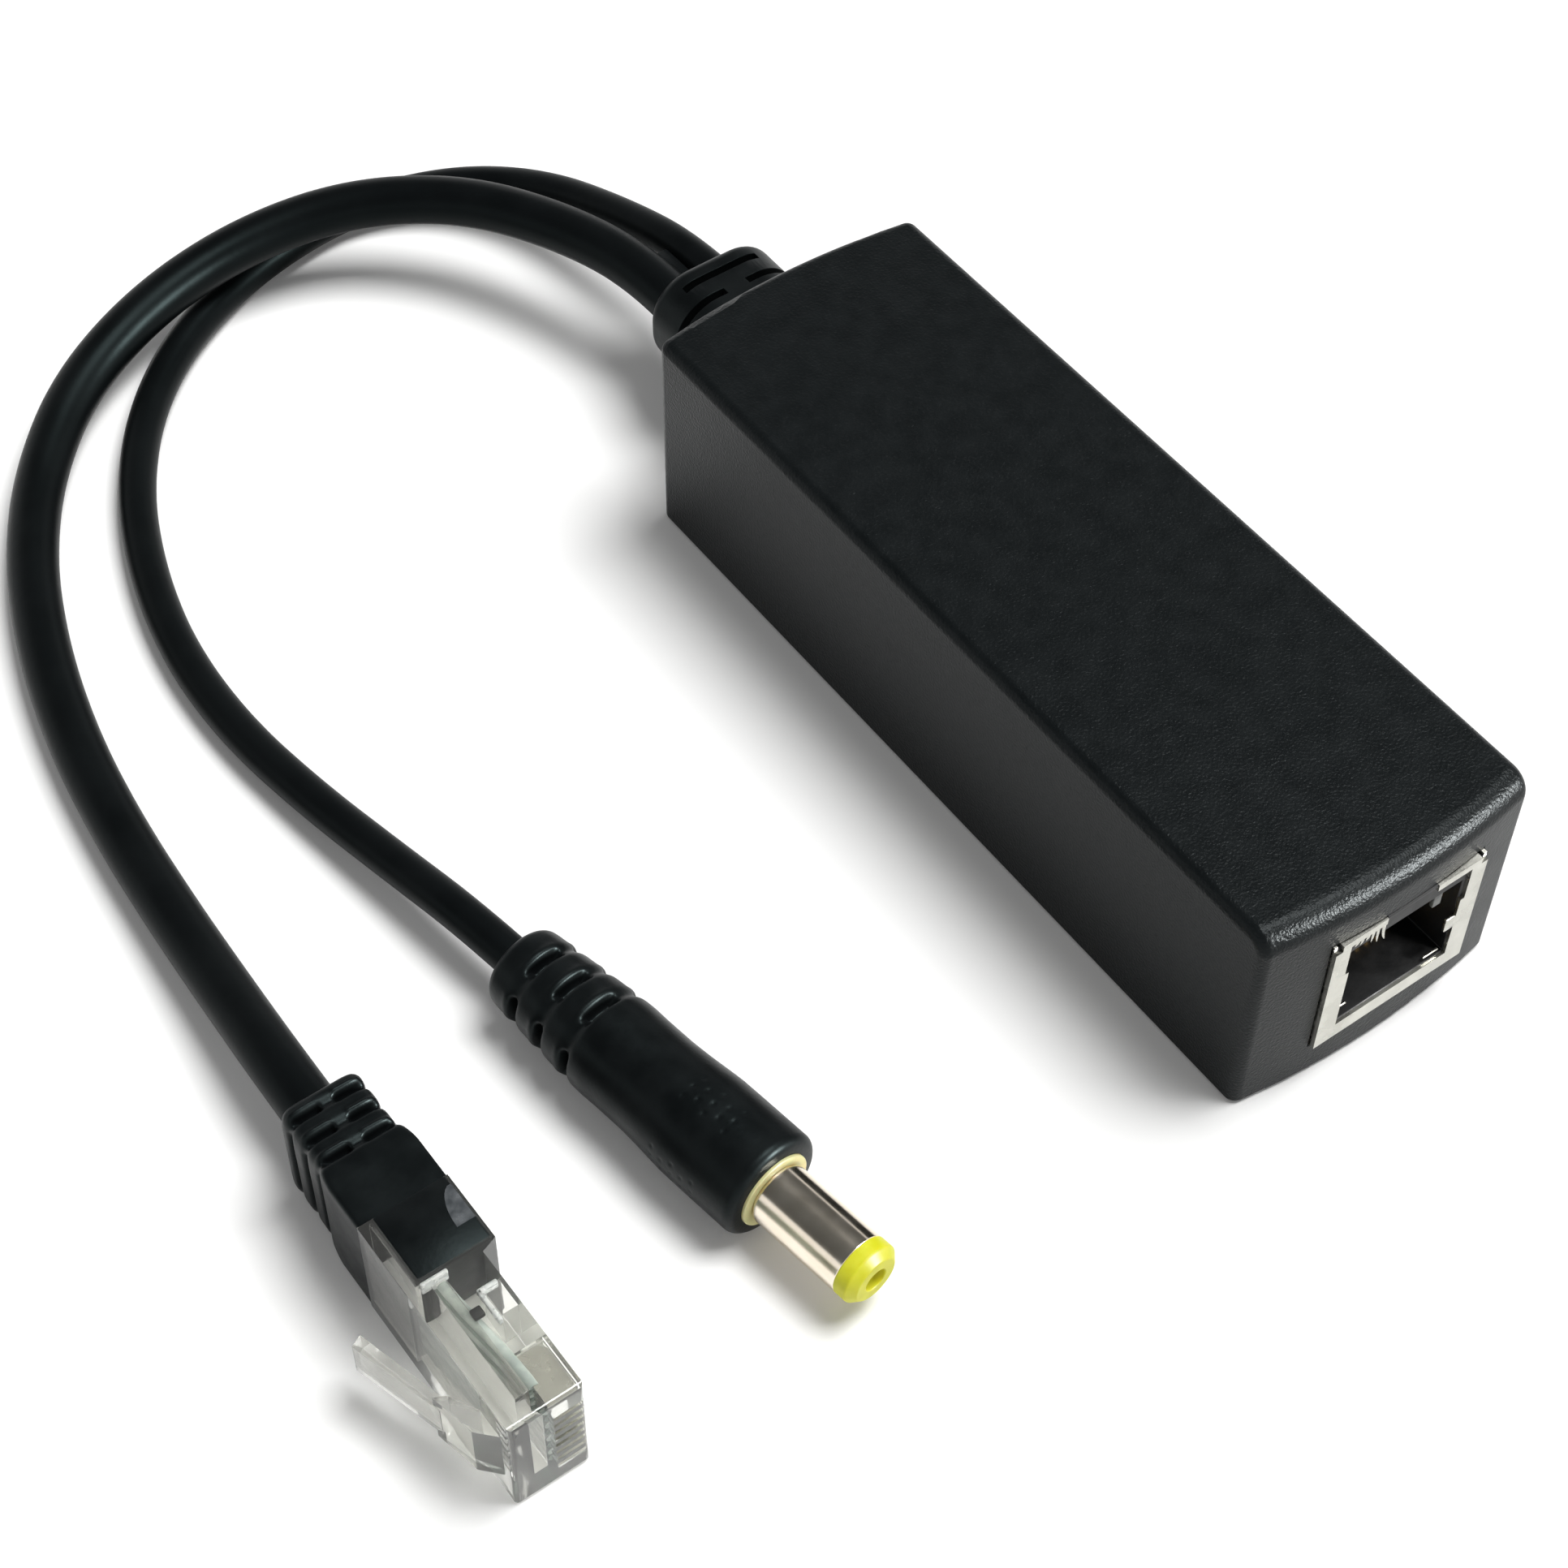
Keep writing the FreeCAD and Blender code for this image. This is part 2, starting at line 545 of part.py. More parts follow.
cover = new_body("bottom_cover")
plate = new_sketch(cover, "plate")
bowed(plate, CASE_HALF + " - cover_lip - fit_gap", HALF_LENGTH + " - cover_lip - fit_gap",
      "end_bulge")
pad(cover, plate, "cover_thick")
rim = new_sketch(cover, "rim", offset="cover_thick")
bowed(rim, CASE_HALF + " - wall - fit_gap", HALF_LENGTH + " - wall - fit_gap", "end_bulge")
bowed(rim, CASE_HALF + " - wall - fit_gap - rim_thick",
      HALF_LENGTH + " - wall - fit_gap - rim_thick", "end_bulge")
pad(cover, rim, "rim_high")
posts = new_sketch(cover, "posts", offset="cover_thick")
for x, y in POSTS:
    circle(posts, x, y, "post_radius")
pad(cover, posts, JACK_TOP + " - cover_thick")

# Circuit board, parts on its underside, with holes for the shield's legs and the wires

DATA_PADS = ["-%s + pad_inset + %d * pad_step" % (BOARD_HALF, i) for i in range(8)]
board = new_body("circuit_board")
board_plan = new_sketch(board, "plan", offset=JACK_TOP)
rectangle(board_plan, "-" + BOARD_HALF, BOARD_FRONT, BOARD_HALF, BOARD_BACK)
pad(board, board_plan, "board_thick")
leg_holes = new_sketch(board, "leg_holes", offset=JACK_TOP)
LEGS = ["%s + shield_sheet / 2" % JACK_LEFT, "%s - shield_sheet / 2" % JACK_RIGHT]
LEG_START = JACK_FACE + " + leg_place - leg_long / 2"
LEG_STOP = JACK_FACE + " + leg_place + leg_long / 2"
for middle in LEGS:
    rectangle(leg_holes, middle + " - shield_sheet / 2 - fit_gap", LEG_START + " - fit_gap",
              middle + " + shield_sheet / 2 + fit_gap", LEG_STOP + " + fit_gap")
pocket(board, leg_holes, "board_thick", reverse=True)
pads = new_sketch(board, "pads", offset=JACK_TOP)
for x in DATA_PADS:
    circle(pads, x, PADS, "wire_dia / 2")
pocket(board, pads, "board_thick", reverse=True)

# Jack shield: folded sheet, open towards the board, with a framed front

shield = new_body("jack_shield")
outside = new_sketch(shield, "outside", "XZ_Plane", "-" + JACK_BACK)
rectangle(outside, JACK_LEFT, "jack_base", JACK_RIGHT, JACK_TOP)
pad(shield, outside, JACK_DEPTH)
inside = new_sketch(shield, "inside", offset="jack_base + shield_sheet")
rectangle(inside, JACK_LEFT + " + shield_sheet", INSERT_FACE,
          JACK_RIGHT + " - shield_sheet", JACK_BACK + " - shield_sheet")
pocket(shield, inside, JACK_HEIGHT, reverse=True)
PORT_LEFT, PORT_RIGHT = "jack_shift - port_width / 2", "jack_shift + port_width / 2"
NOTCH_LEFT, NOTCH_RIGHT = "jack_shift - notch_width / 2", "jack_shift + notch_width / 2"
EAR = FRAME_TOP + " - frame_ear_high"
mouth = new_sketch(shield, "mouth", "XZ_Plane", "-" + JACK_FACE + " + 1")
polygon(mouth, [
    (PORT_LEFT, PORT_LOW + " - fit_gap"), (PORT_RIGHT, PORT_LOW + " - fit_gap"),
    (PORT_RIGHT, EAR), (PORT_RIGHT + " + frame_ear", EAR),
    (PORT_RIGHT + " + frame_ear", FRAME_TOP), (NOTCH_RIGHT, FRAME_TOP),
    (NOTCH_RIGHT, JACK_TOP + " + 1"), (NOTCH_LEFT, JACK_TOP + " + 1"),
    (NOTCH_LEFT, FRAME_TOP), (PORT_LEFT + " - frame_ear", FRAME_TOP),
    (PORT_LEFT + " - frame_ear", EAR), (PORT_LEFT, EAR),
])
pocket(shield, mouth, "shield_sheet + 1.5")
reliefs = new_sketch(shield, "reliefs", "XZ_Plane", "-" + JACK_FACE + " + 1")
rectangle(reliefs, JACK_LEFT + " - 1", JACK_TOP + " - lip_relief",
          JACK_LEFT + " + lip_relief", JACK_TOP + " + 1")
rectangle(reliefs, JACK_RIGHT + " - lip_relief", JACK_TOP + " - lip_relief",
          JACK_RIGHT + " + 1", JACK_TOP + " + 1")
pocket(shield, reliefs, "shield_sheet + 1")
lips = new_sketch(shield, "lips", offset=JACK_TOP + " - shield_sheet")
for near, far in ((JACK_LEFT + " + lip_relief", NOTCH_LEFT),
                  (NOTCH_RIGHT, JACK_RIGHT + " - lip_relief")):
    rectangle(lips, near, JACK_FACE, far, JACK_FACE + " + lip_depth")
pad(shield, lips, "shield_sheet")
legs = new_sketch(shield, "legs", offset=JACK_TOP)
for middle in LEGS:
    rectangle(legs, middle + " - shield_sheet / 2", LEG_START,
              middle + " + shield_sheet / 2", LEG_STOP)
pad(shield, legs, "board_thick + leg_out")

# Jack insert: moulded block with the plug opening and its latch slot

insert = new_body("jack_insert")
block = new_sketch(insert, "block", "XZ_Plane", "-" + JACK_BACK + " + shield_sheet")
rectangle(block, JACK_LEFT + " + shield_sheet", "jack_base + shield_sheet",
          JACK_RIGHT + " - shield_sheet", JACK_TOP + " - shield_sheet")
pad(insert, block, "port_depth + port_rear - shield_sheet")
port = new_sketch(insert, "port", "XZ_Plane", "-" + INSERT_FACE)
SLOT_LEFT = "jack_shift - latch_slot_width / 2"
SLOT_RIGHT = "jack_shift + latch_slot_width / 2"
polygon(port, [
    (PORT_LEFT, PORT_LOW), (PORT_RIGHT, PORT_LOW), (PORT_RIGHT, PORT_TOP),
    (SLOT_RIGHT, PORT_TOP), (SLOT_RIGHT, PORT_TOP + " + latch_slot_height"),
    (SLOT_LEFT, PORT_TOP + " + latch_slot_height"), (SLOT_LEFT, PORT_TOP),
    (PORT_LEFT, PORT_TOP),
])
pocket(insert, port, "port_depth")

# The insert's face stands back behind the shield's frame beside the latch slot
shoulder = new_sketch(insert, "shoulder", "XZ_Plane", "-" + INSERT_FACE)
rectangle(shoulder, PORT_LEFT, PORT_TOP, PORT_RIGHT, FRAME_TOP)
pocket(insert, shoulder, "shoulder_deep")

# Eight sprung contacts: each runs along the port floor and folds up to the back

contacts = new_body("jack_contacts")
contacts.AllowCompound = True
wire = new_sketch(contacts, "wire", "YZ_Plane", "jack_shift - 3.5 * contact_pitch")
FOLD = INSERT_FACE + " + contact_start"
polygon(wire, [
    (PORT_BACK, PORT_LOW), (FOLD + " + contact_thick", PORT_LOW),
    (FOLD, PORT_LOW + " + contact_thick * 1.4"), (PORT_BACK, PORT_LOW + " + contact_rise"),
    (PORT_BACK, PORT_LOW + " + contact_rise - contact_thick"),
    (FOLD + " + 3 * contact_thick", PORT_LOW + " + contact_thick * 1.2"),
    (PORT_BACK, PORT_LOW + " + contact_thick"),
])
wires = pad(contacts, wire, "contact_width", middle=True)
row_of(contacts, wires, "X_Axis", "7 * contact_pitch", 8)

# Gland: soft moulding round both cables, with a neck in the wall and a flange inside

gland = new_body("cable_grommet")


def gland_section(name, offset, less):
    sketch = new_sketch(gland, name, "XZ_Plane", offset)
    rectangle(sketch, GLAND_LEFT + " + " + less, GLAND_LOW + " + " + less,
              GLAND_RIGHT + " - " + less, GLAND_HIGH + " - " + less)
    return sketch


pad(gland, gland_section("outer", "-" + GLAND_ROOT, "0"), "gland_length", reverse=True)
round_edges(gland, "sides", "gland_round", lambda e: along(e, Y))
round_edges(gland, "end", "gland_end_round", lambda e: at_level(e, "Y", number(GLAND_END)))
pad(gland, gland_section("neck", "-" + GLAND_INNER, "gland_neck"),
    GLAND_ROOT + " - " + GLAND_INNER, reverse=True)
pad(gland, gland_section("flange", "-" + GLAND_INNER, "fit_gap"), "gland_flange")

# Slots: over the top and bottom in one row, round the sides in the next
over = new_sketch(gland, "over", "XZ_Plane", "-(%s) + gland_rim" % GLAND_END)
near, far = GLAND_LEFT + " + gland_slot_side", GLAND_RIGHT + " - gland_slot_side"
rectangle(over, near, GLAND_HIGH + " - gland_slot_deep", far, GLAND_HIGH + " + 1")
rectangle(over, near, GLAND_LOW + " - 1", far, GLAND_LOW + " + gland_slot_deep")
pocket(gland, over, "gland_slot", middle=True)
beside = new_sketch(gland, "beside", "XZ_Plane",
                    "-(%s) + gland_rim + gland_step" % GLAND_END)
for side in ("-", "+"):
    near = "gland_shift %s gland_bridge" % side
    far = "gland_shift %s (gland_width / 2 + 1)" % side
    deep = "gland_shift %s (gland_width / 2 - gland_slot_deep)" % side
    polygon(beside, [
        (near, GLAND_HIGH + " + 1"), (far, GLAND_HIGH + " + 1"), (far, GLAND_LOW + " - 1"),
        (near, GLAND_LOW + " - 1"), (near, GLAND_LOW + " + gland_slot_deep"),
        (deep, GLAND_LOW + " + gland_round - gland_slot_deep"),
        (deep, GLAND_HIGH + " - gland_round + gland_slot_deep"),
        (near, GLAND_HIGH + " - gland_slot_deep")])
pocket(gland, beside, "gland_slot", middle=True)

# Bores for the two cables
bores = new_sketch(gland, "bores", "XZ_Plane", "-" + GLAND_END + " - 1")
circle(bores, "-network_side", "gland_level", "network_dia / 2 + bore_gap")
circle(bores, "power_side", "gland_level", "power_dia / 2 + bore_gap")
pocket(gland, bores, GLAND_END + " - " + GLAND_INNER + " + gland_flange + 2", reverse=True)

# The cables' jackets run through the gland and end just inside

for name, centre, diameter in (("network_tail", "-network_side", "network_dia"),
                               ("power_tail", "power_side", "power_dia")):
    tail = new_body(name)
    section = new_sketch(tail, "section", "XZ_Plane", "-" + GLAND_END)
    circle(section, centre, "gland_level", diameter + " / 2")
    pad(tail, section, GLAND_END + " - " + TAIL_END)


def tube(name, points, radius):
    """A round tube along straight runs joined by tangent arcs, each as large as its runs allow."""
    runs = [points[i + 1].sub(points[i]) for i in range(len(points) - 1)]
    edges, here, radii = [], points[0], []
    for i in range(1, len(points) - 1):
        before, after = Vector(runs[i - 1]).normalize(), Vector(runs[i]).normalize()
        turn = before.getAngle(after)
        reach = 0.45 * min(runs[i - 1].Length, runs[i].Length)
        bend = reach / math.tan(turn / 2)
        start = points[i].sub(before * reach)
        end = points[i].add(after * reach)
        inward = after.sub(before).normalize()
        middle = points[i].add(inward * (bend / math.cos(turn / 2) - bend))
        edges.append(Part.LineSegment(here, start).toShape())
        edges.append(Part.Arc(start, middle, end).toShape())
        radii.append(bend)
        here = end
    edges.append(Part.LineSegment(here, points[-1]).toShape())
    path = Part.Wire(edges)
    ring = Part.Wire([Part.Circle(points[0], runs[0], radius).toShape()])
    solid = path.makePipeShell([ring], True, False)
    full = math.pi * radius ** 2 * path.Length
    print("%s: length %.1f, least arc radius %.1f (%.1f diameters), volume off by %.2f%%" % (
        name, path.Length, min(radii), min(radii) / radius / 2,
        100 * abs(solid.Volume / full - 1)))
    return solid


def cord(name, points, radius):
    feature = doc.addObject("Part::Feature", name)
    feature.Label = name
    feature.Shape = tube(name, points, radius)
    feature.Placement = Placement()
    return feature


# Free cables. Their ends follow the gland and the plugs; between them the route is by hand.
dc_axis = Vector(math.sin(math.radians(number("dc_angle"))),
                 -math.cos(math.radians(number("dc_angle"))), 0)
dc_end = Vector(number("dc_end_x"), number("dc_end_y"), number(HANDLE_LEVEL))
network_exit = Vector(number("-network_side"), number(GLAND_END), number("gland_level"))
power_exit = Vector(number("power_side"), number(GLAND_END), number("gland_level"))
boot_end = Vector(number("plug_left + boot_thick / 2 + 0.3"),
                  number("plug_front + " + BOOT_END), number(PLUG_MIDDLE))
NETWORK_ROUTE = [
    (-6.1, 68.2, 10.4), (-11.3, 78.3, 9.6), (-19.6, 85.5, 8.5), (-30.1, 88.3, 7.0),
    (-41.2, 87.3, 5.6), (-51.5, 83.4, 3.7), (-59.5, 76.0, 2.6), (-65.3, 66.8, 2.4),
    (-69.4, 56.5, 2.4), (-72.1, 45.9, 2.4), (-73.6, 35.2, 2.5), (-74.4, 24.1, 3.0),
    (-75.0, 13.0, 4.2),
]
POWER_ROUTE = [
    (0.8, 68.1, 9.0), (-1.6, 78.7, 6.4), (-7.6, 87.1, 3.9), (-16.9, 91.3, 2.2),
    (-27.7, 90.1, 1.8), (-37.9, 85.9, 1.8), (-46.4, 79.1, 1.8), (-52.7, 70.5, 1.8),
    (-57.0, 60.5, 1.8), (-59.5, 50.0, 1.8), (-59.9, 39.3, 1.9), (-58.6, 28.5, 2.4),
    (-56.8, 17.7, 3.5),
]
network_points = [network_exit, network_exit.add(Y * 6.2)]
network_points += [Vector(*p) for p in NETWORK_ROUTE]
network_points += [boot_end.add(Y * 6.2), boot_end]
power_points = [power_exit, power_exit.add(Y * 6.0)]
power_points += [Vector(*p) for p in POWER_ROUTE]
power_points += [dc_end.sub(dc_axis * 6.1), dc_end]
cord("network_cable", network_points, number("network_dia / 2"))
cord("power_cable", power_points, number("power_dia / 2"))

# Wires from the jackets' ends to the board: eight for data, two for power

data_wires = []
spots = [(number("wire_ring") * math.cos(a), number("wire_ring") * math.sin(a))
         for a in [math.radians(90 + 360 / 7 * k) for k in range(7)]] + [(0.02, 0.0)]
spots.sort()
for i, (dx, dz) in enumerate(spots):
    start = Vector(number("-network_side") + dx, number(TAIL_END),
                   number("gland_level") + dz)
    pad_at = Vector(number(DATA_PADS[i]), number(PADS), number(JACK_TOP))
    corner = Vector(pad_at.x, pad_at.y, start.z)
    data_wires.append(tube("data wire %d" % (i + 1),
                           [start, start.sub(Y * number("wire_straight")), corner, pad_at],
                           number("wire_dia / 2")))
group = doc.addObject("Part::Feature", "network_wires")
group.Label = "network_wires"
group.Shape = Part.makeCompound(data_wires)
group.Placement = Placement()

power_wires = []
for i, side in enumerate(("-", "+")):
    start = Vector(number("power_side %s lead_side" % side), number(TAIL_END),
                   number("gland_level"))
    pad_at = Vector(number("power_side + %d * lead_step" % (i + 1)), number(PADS),
                    number(JACK_TOP))
    corner = Vector(pad_at.x, pad_at.y, start.z)
    power_wires.append(tube("power wire %d" % (i + 1),
                            [start, start.sub(Y * number("wire_straight")), corner, pad_at],
                            number("lead_dia / 2")))
group = doc.addObject("Part::Feature", "power_wires")
group.Label = "power_wires"
group.Shape = Part.makeCompound(power_wires)
group.Placement = Placement()

# Network plug, lying on one narrow side. Its own frame: x from the latch face to the
# contact face, y from the front face back, z across the eight contacts.

clear = new_body("plug_body")
side = new_sketch(clear, "side")
polygon(side, [
    ("0", "0"), ("plug_nose", "0"), ("plug_nose", "nose_length"),
    ("plug_thick", "nose_length + nose_step"), ("plug_thick", "plug_length"),
    ("0", "plug_length"),
])
pad(clear, side, "plug_width")

# Latch: a wide springy root that narrows to the finger at its shoulders
root = new_sketch(clear, "latch_root", offset=PLUG_MIDDLE)
LEAN = "((latch_lift - latch_thick) / (latch_reach - latch_root - latch_root_long))"
ROOT_END = "(latch_root + latch_root_long)"
TURN = "(%s * (latch_shoulder - %s) + latch_thick / 3)" % (LEAN, ROOT_END)
polygon(root, [
    ("latch_thick / 3", "latch_root"), ("latch_thick / 3", ROOT_END),
    ("-" + TURN, "latch_shoulder"),
    ("-%s - latch_thick" % TURN, "latch_shoulder + latch_thick / 2"),
    ("-latch_thick * 1.4", ROOT_END + " - latch_thick / 2"),
])
pad(clear, root, "latch_root_width", middle=True)
finger = new_sketch(clear, "latch_finger", offset=PLUG_MIDDLE)
polygon(finger, [
    ("-%s + latch_thick / 8" % TURN, "latch_shoulder - latch_thick / 3"),
    ("-latch_lift + latch_thick", "latch_reach"),
    ("-latch_lift", "latch_reach - latch_thick / 2"),
    ("-%s - latch_thick * 0.9" % TURN, "latch_shoulder - latch_thick / 6"),
])
pad(clear, finger, "latch_width", middle=True)
round_edges(clear, "nose", "nose_round", lambda e: at_level(e, "Y", 0))

# Hollow for the moulded core behind, a chamber for the wires, and the contact slots
hollow = new_sketch(clear, "hollow", "XZ_Plane", "-plug_length")
rectangle(hollow, "plug_wall", "plug_wall", "plug_thick - plug_wall",
          "plug_width - plug_wall")
pocket(clear, hollow, "plug_length - nose_length - core_end + core_gap", reverse=True)
chamber = new_sketch(clear, "chamber", "XZ_Plane", "-(nose_length + core_end)")
rectangle(chamber, "plug_nose / 2 - chamber_thick", "plug_wall * 1.6", "plug_nose / 2",
          "plug_width - plug_wall * 1.6")
pocket(clear, chamber, "nose_length + core_end - chamber_front", reverse=True)
slot = new_sketch(clear, "contact_slot", offset=PLUG_MIDDLE + " - 3.5 * contact_pitch")
rectangle(slot, "plug_nose - blade_deep", "-1", "plug_nose + 1", "blade_long")
slots = pocket(clear, slot, "plug_slot", middle=True)
row_of(clear, slots, "Z_Axis", "7 * contact_pitch", 8)
window = new_sketch(clear, "crimp_window", "YZ_Plane", "plug_nose + 1")
rectangle(window, "crimp_place", "plug_wall * 2.2", "crimp_place + crimp_long",
          "plug_width - plug_wall * 2.2")
pocket(clear, window, "crimp_deep + 1")

blades = new_body("plug_contacts")
blades.AllowCompound = True
blade = new_sketch(blades, "blade", offset=PLUG_MIDDLE + " - 3.5 * contact_pitch")
polygon(blade, [
    ("plug_nose - blade_deep", "3 * blade_thick"),
    ("plug_nose - blade_under - blade_thick", "3 * blade_thick"),
    ("plug_nose - blade_under", "4 * blade_thick"),
    ("plug_nose - blade_under", "blade_long - 3 * blade_thick"),
    ("plug_nose - blade_under - 2 * blade_thick", "blade_long - blade_thick"),
    ("plug_nose - blade_deep", "blade_long - blade_thick"),
])
row_of(blades, pad(blades, blade, "blade_thick", middle=True), "Z_Axis",
       "7 * contact_pitch", 8)

boot = new_body("plug_boot")
boot_side = new_sketch(boot, "side")
BLOCK = "(%s - boot_rim - 2.5 * boot_step)" % BOOT_END
polygon(boot_side, [
    ("0", "plug_length"), ("plug_thick", "plug_length"), ("boot_thick", BLOCK),
    ("boot_thick", BOOT_END), ("0", BOOT_END),
])
pad(boot, boot_side, "plug_width")
round_edges(boot, "corners", "boot_round",
            lambda e: along(e, Z) and at_level(e, "Y", number(BOOT_END)))
round_edges(boot, "rims", "boot_rim_round",
            lambda e: (at_level(e, "Z", 0) or at_level(e, "Z", number("plug_width")))
            and not at_level(e, "Y", number("plug_length")))
core = new_sketch(boot, "core", "XZ_Plane", "-plug_length")
rectangle(core, "plug_wall + core_gap", "plug_wall + core_gap",
          "plug_thick - plug_wall - core_gap", "plug_width - plug_wall - core_gap")
pad(boot, core, "plug_length - nose_length - core_end")
for i in range(3):
    LEVEL = "%s - boot_rim - %d * boot_step" % (BOOT_END, i)
    START, STOP = LEVEL + " - boot_slot / 2", LEVEL + " + boot_slot / 2"
    for top in (False, True):
        cut = new_sketch(boot, "%s_slots%d" % ("upper" if top else "lower", i),
                         offset="plug_width - boot_slot_deep" if top else "0")
        rectangle(cut, "boot_side", START, "(boot_thick - boot_web) / 2", STOP)
        rectangle(cut, "(boot_thick + boot_web) / 2", START,
                  "boot_thick - boot_notch - 0.2", STOP)
        pocket(boot, cut, "boot_slot_deep", reverse=True)
    flank = new_sketch(boot, "flank%d" % i, "YZ_Plane")
    rectangle(flank, START, "boot_slot_deep + boot_notch", STOP,
              "plug_width - boot_slot_deep - boot_notch")
    pocket(boot, flank, "boot_slot_deep", reverse=True)
    edge = new_sketch(boot, "edge%d" % i, "YZ_Plane", "boot_thick")
    rectangle(edge, START, "-1", STOP, "plug_width + 1")
    pocket(boot, edge, "boot_notch")

for piece in (clear, blades, boot):
    place(piece, "plug_left", "plug_front", "0")

# Barrel plug. Its own frame: x along the plug from the handle's end to the tip.

handle = new_body("dc_handle")
outline = new_sketch(handle, "outline", "XZ_Plane")
polygon(outline, [
    ("0", "0"), ("0", "handle_tail_dia / 2 - handle_round / 2"),
    ("handle_round / 2", "handle_tail_dia / 2"),
    ("handle_rim + 2 * handle_step", "handle_neck_dia / 2"),
    ("handle_full", "handle_dia / 2"), ("handle_length - handle_round", "handle_dia / 2"),
    ("handle_length", "handle_dia / 2 - handle_round"), ("handle_length", "0"),
])
revolve(handle, outline)
socket = new_sketch(handle, "socket", "YZ_Plane", "handle_length")
circle(socket, "0", "0", "collar_dia / 2")
pocket(handle, socket, "barrel_root")
for i in range(3):
    cut = new_sketch(handle, "slot%d" % i, "XY_Plane", "handle_dia / 2")
    LEVEL = "handle_rim + %d * handle_step" % i
    rectangle(cut, LEVEL + " - handle_slot / 2", "-handle_slot_long / 2",
              LEVEL + " + handle_slot / 2", "handle_slot_long / 2")
    slotted = pocket(handle, cut, "handle_dia / 2 - handle_tail_dia / 2 + handle_slot_deep")
    ring_of(handle, slotted, "X_Axis", 4)

ROOT = "handle_length - barrel_root"
ROOT_RADIUS = "barrel_dia / 2 - barrel_step"
INNER_RADIUS = "barrel_dia / 2 - barrel_wall"
SHOULDER = "handle_length + collar_out + barrel_gap"
collar = new_body("dc_collar")
outline = new_sketch(collar, "outline", "XZ_Plane")
rectangle(outline, ROOT, ROOT_RADIUS, "handle_length + collar_out", "collar_dia / 2")
revolve(collar, outline)

barrel = new_body("dc_barrel")
outline = new_sketch(barrel, "outline", "XZ_Plane")
polygon(outline, [
    (ROOT, INNER_RADIUS), (ROOT, ROOT_RADIUS), (SHOULDER, ROOT_RADIUS),
    (SHOULDER, "barrel_dia / 2"), (BARREL_END, "barrel_dia / 2"),
    (BARREL_END, INNER_RADIUS),
])
revolve(barrel, outline)

tip = new_body("dc_tip")
outline = new_sketch(tip, "outline", "XZ_Plane")
TIP_END = "(%s + tip_length)" % BARREL_END
polygon(outline, [
    (ROOT, "pin_bore / 2 + sleeve_wall"), (ROOT, INNER_RADIUS), (BARREL_END, INNER_RADIUS),
    (BARREL_END, "barrel_dia / 2"), (TIP_END + " - tip_round", "barrel_dia / 2"),
    (TIP_END, "barrel_dia / 2 - tip_round"), (TIP_END, "pin_bore / 2"),
    (TIP_END + " - tip_land", "pin_bore / 2"),
    (TIP_END + " - tip_land", "pin_bore / 2 + sleeve_wall"),
])
revolve(tip, outline)

sleeve = new_body("dc_centre_contact")
outline = new_sketch(sleeve, "outline", "XZ_Plane")
rectangle(outline, ROOT, "pin_bore / 2", TIP_END + " - tip_land",
          "pin_bore / 2 + sleeve_wall")
revolve(sleeve, outline)

for piece in (handle, collar, barrel, tip, sleeve):
    piece.Placement = Placement(dc_end, Rotation(Z, 0))
    place(piece, "dc_end_x", "dc_end_y", HANDLE_LEVEL)
    piece.Placement = Placement(dc_end, Rotation(Z, number("dc_angle - 90")))
    bind(piece, "Placement.Rotation.Angle", "dc_angle - 90")

# Parts on the board's underside stand in two columns, evenly spread along the bay,
# each drawn hanging below its own origin


def column(lengths, count):
    """The middle of each part of a column, with equal gaps between the parts."""
    gap = "((bay_length - %s) / %d)" % (" - ".join(lengths), count + 1)
    middles = []
    for i in range(count):
        before = "".join(" + " + one for one in lengths[:i])
        middles.append("%s + %d * %s%s + %s / 2" % (JACK_BACK, i + 1, gap, before,
                                                    lengths[i]))
    return middles


LEFT = column(["magnetics_long", "bulk_dia", "diode_long", "opto_long", "output_dia"], 5)
RIGHT = column(["bridge_long", "bridge_long", "controller_long", "core_size",
                "choke_dia"], 5)
SIDE_ROOM = "(%s - edge_room)" % BOARD_HALF
POST_ROOM = "(%s - post_radius - part_gap)" % POST_SIDE


def leaded_chip(kind, name, side, y, pins):
    """A moulded pack with a row of folded leads down each side."""
    long, wide, high = kind + "_long", kind + "_wide", kind + "_high"
    chip = new_body(name)
    pack = new_sketch(chip, "pack", offset="-pack_lift")
    rectangle(pack, "-%s / 2" % wide, "-%s / 2" % long, "%s / 2" % wide, "%s / 2" % long)
    pad(chip, pack, high + " - pack_lift", reverse=True)
    step = kind + "_step" if pins > 1 else ""
    first_at = "%d * %s / 2" % (pins - 1, step) if pins > 1 else "0"
    leads = new_sketch(chip, "leads", "XZ_Plane", first_at)
    half = "%s / 2" % wide
    out = "(%s + lead_reach)" % half
    middle = "-%s / 2" % high
    corners = [
        (out, "0"), (out, "-lead_sheet"), (out + " - lead_foot + lead_sheet", "-lead_sheet"),
        (out + " - lead_foot + lead_sheet", middle + " - lead_sheet"),
        (half + " - lead_sheet", middle + " - lead_sheet"), (half + " - lead_sheet", middle),
        (out + " - lead_foot", middle), (out + " - lead_foot", "0"),
    ]
    polygon(leads, corners)
    polygon(leads, [("-(%s)" % x, z) for x, z in corners])
    first = pad(chip, leads, kind + "_lead", middle=True)
    if pins > 1:
        row_of(chip, first, "Y_Axis", "%d * %s" % (pins - 1, step), pins)
    edge = "%s - %s / 2 - lead_reach" % (SIDE_ROOM, wide)
    place(chip, "-(%s)" % edge if side == "left" else edge, y, JACK_TOP)
    return chip


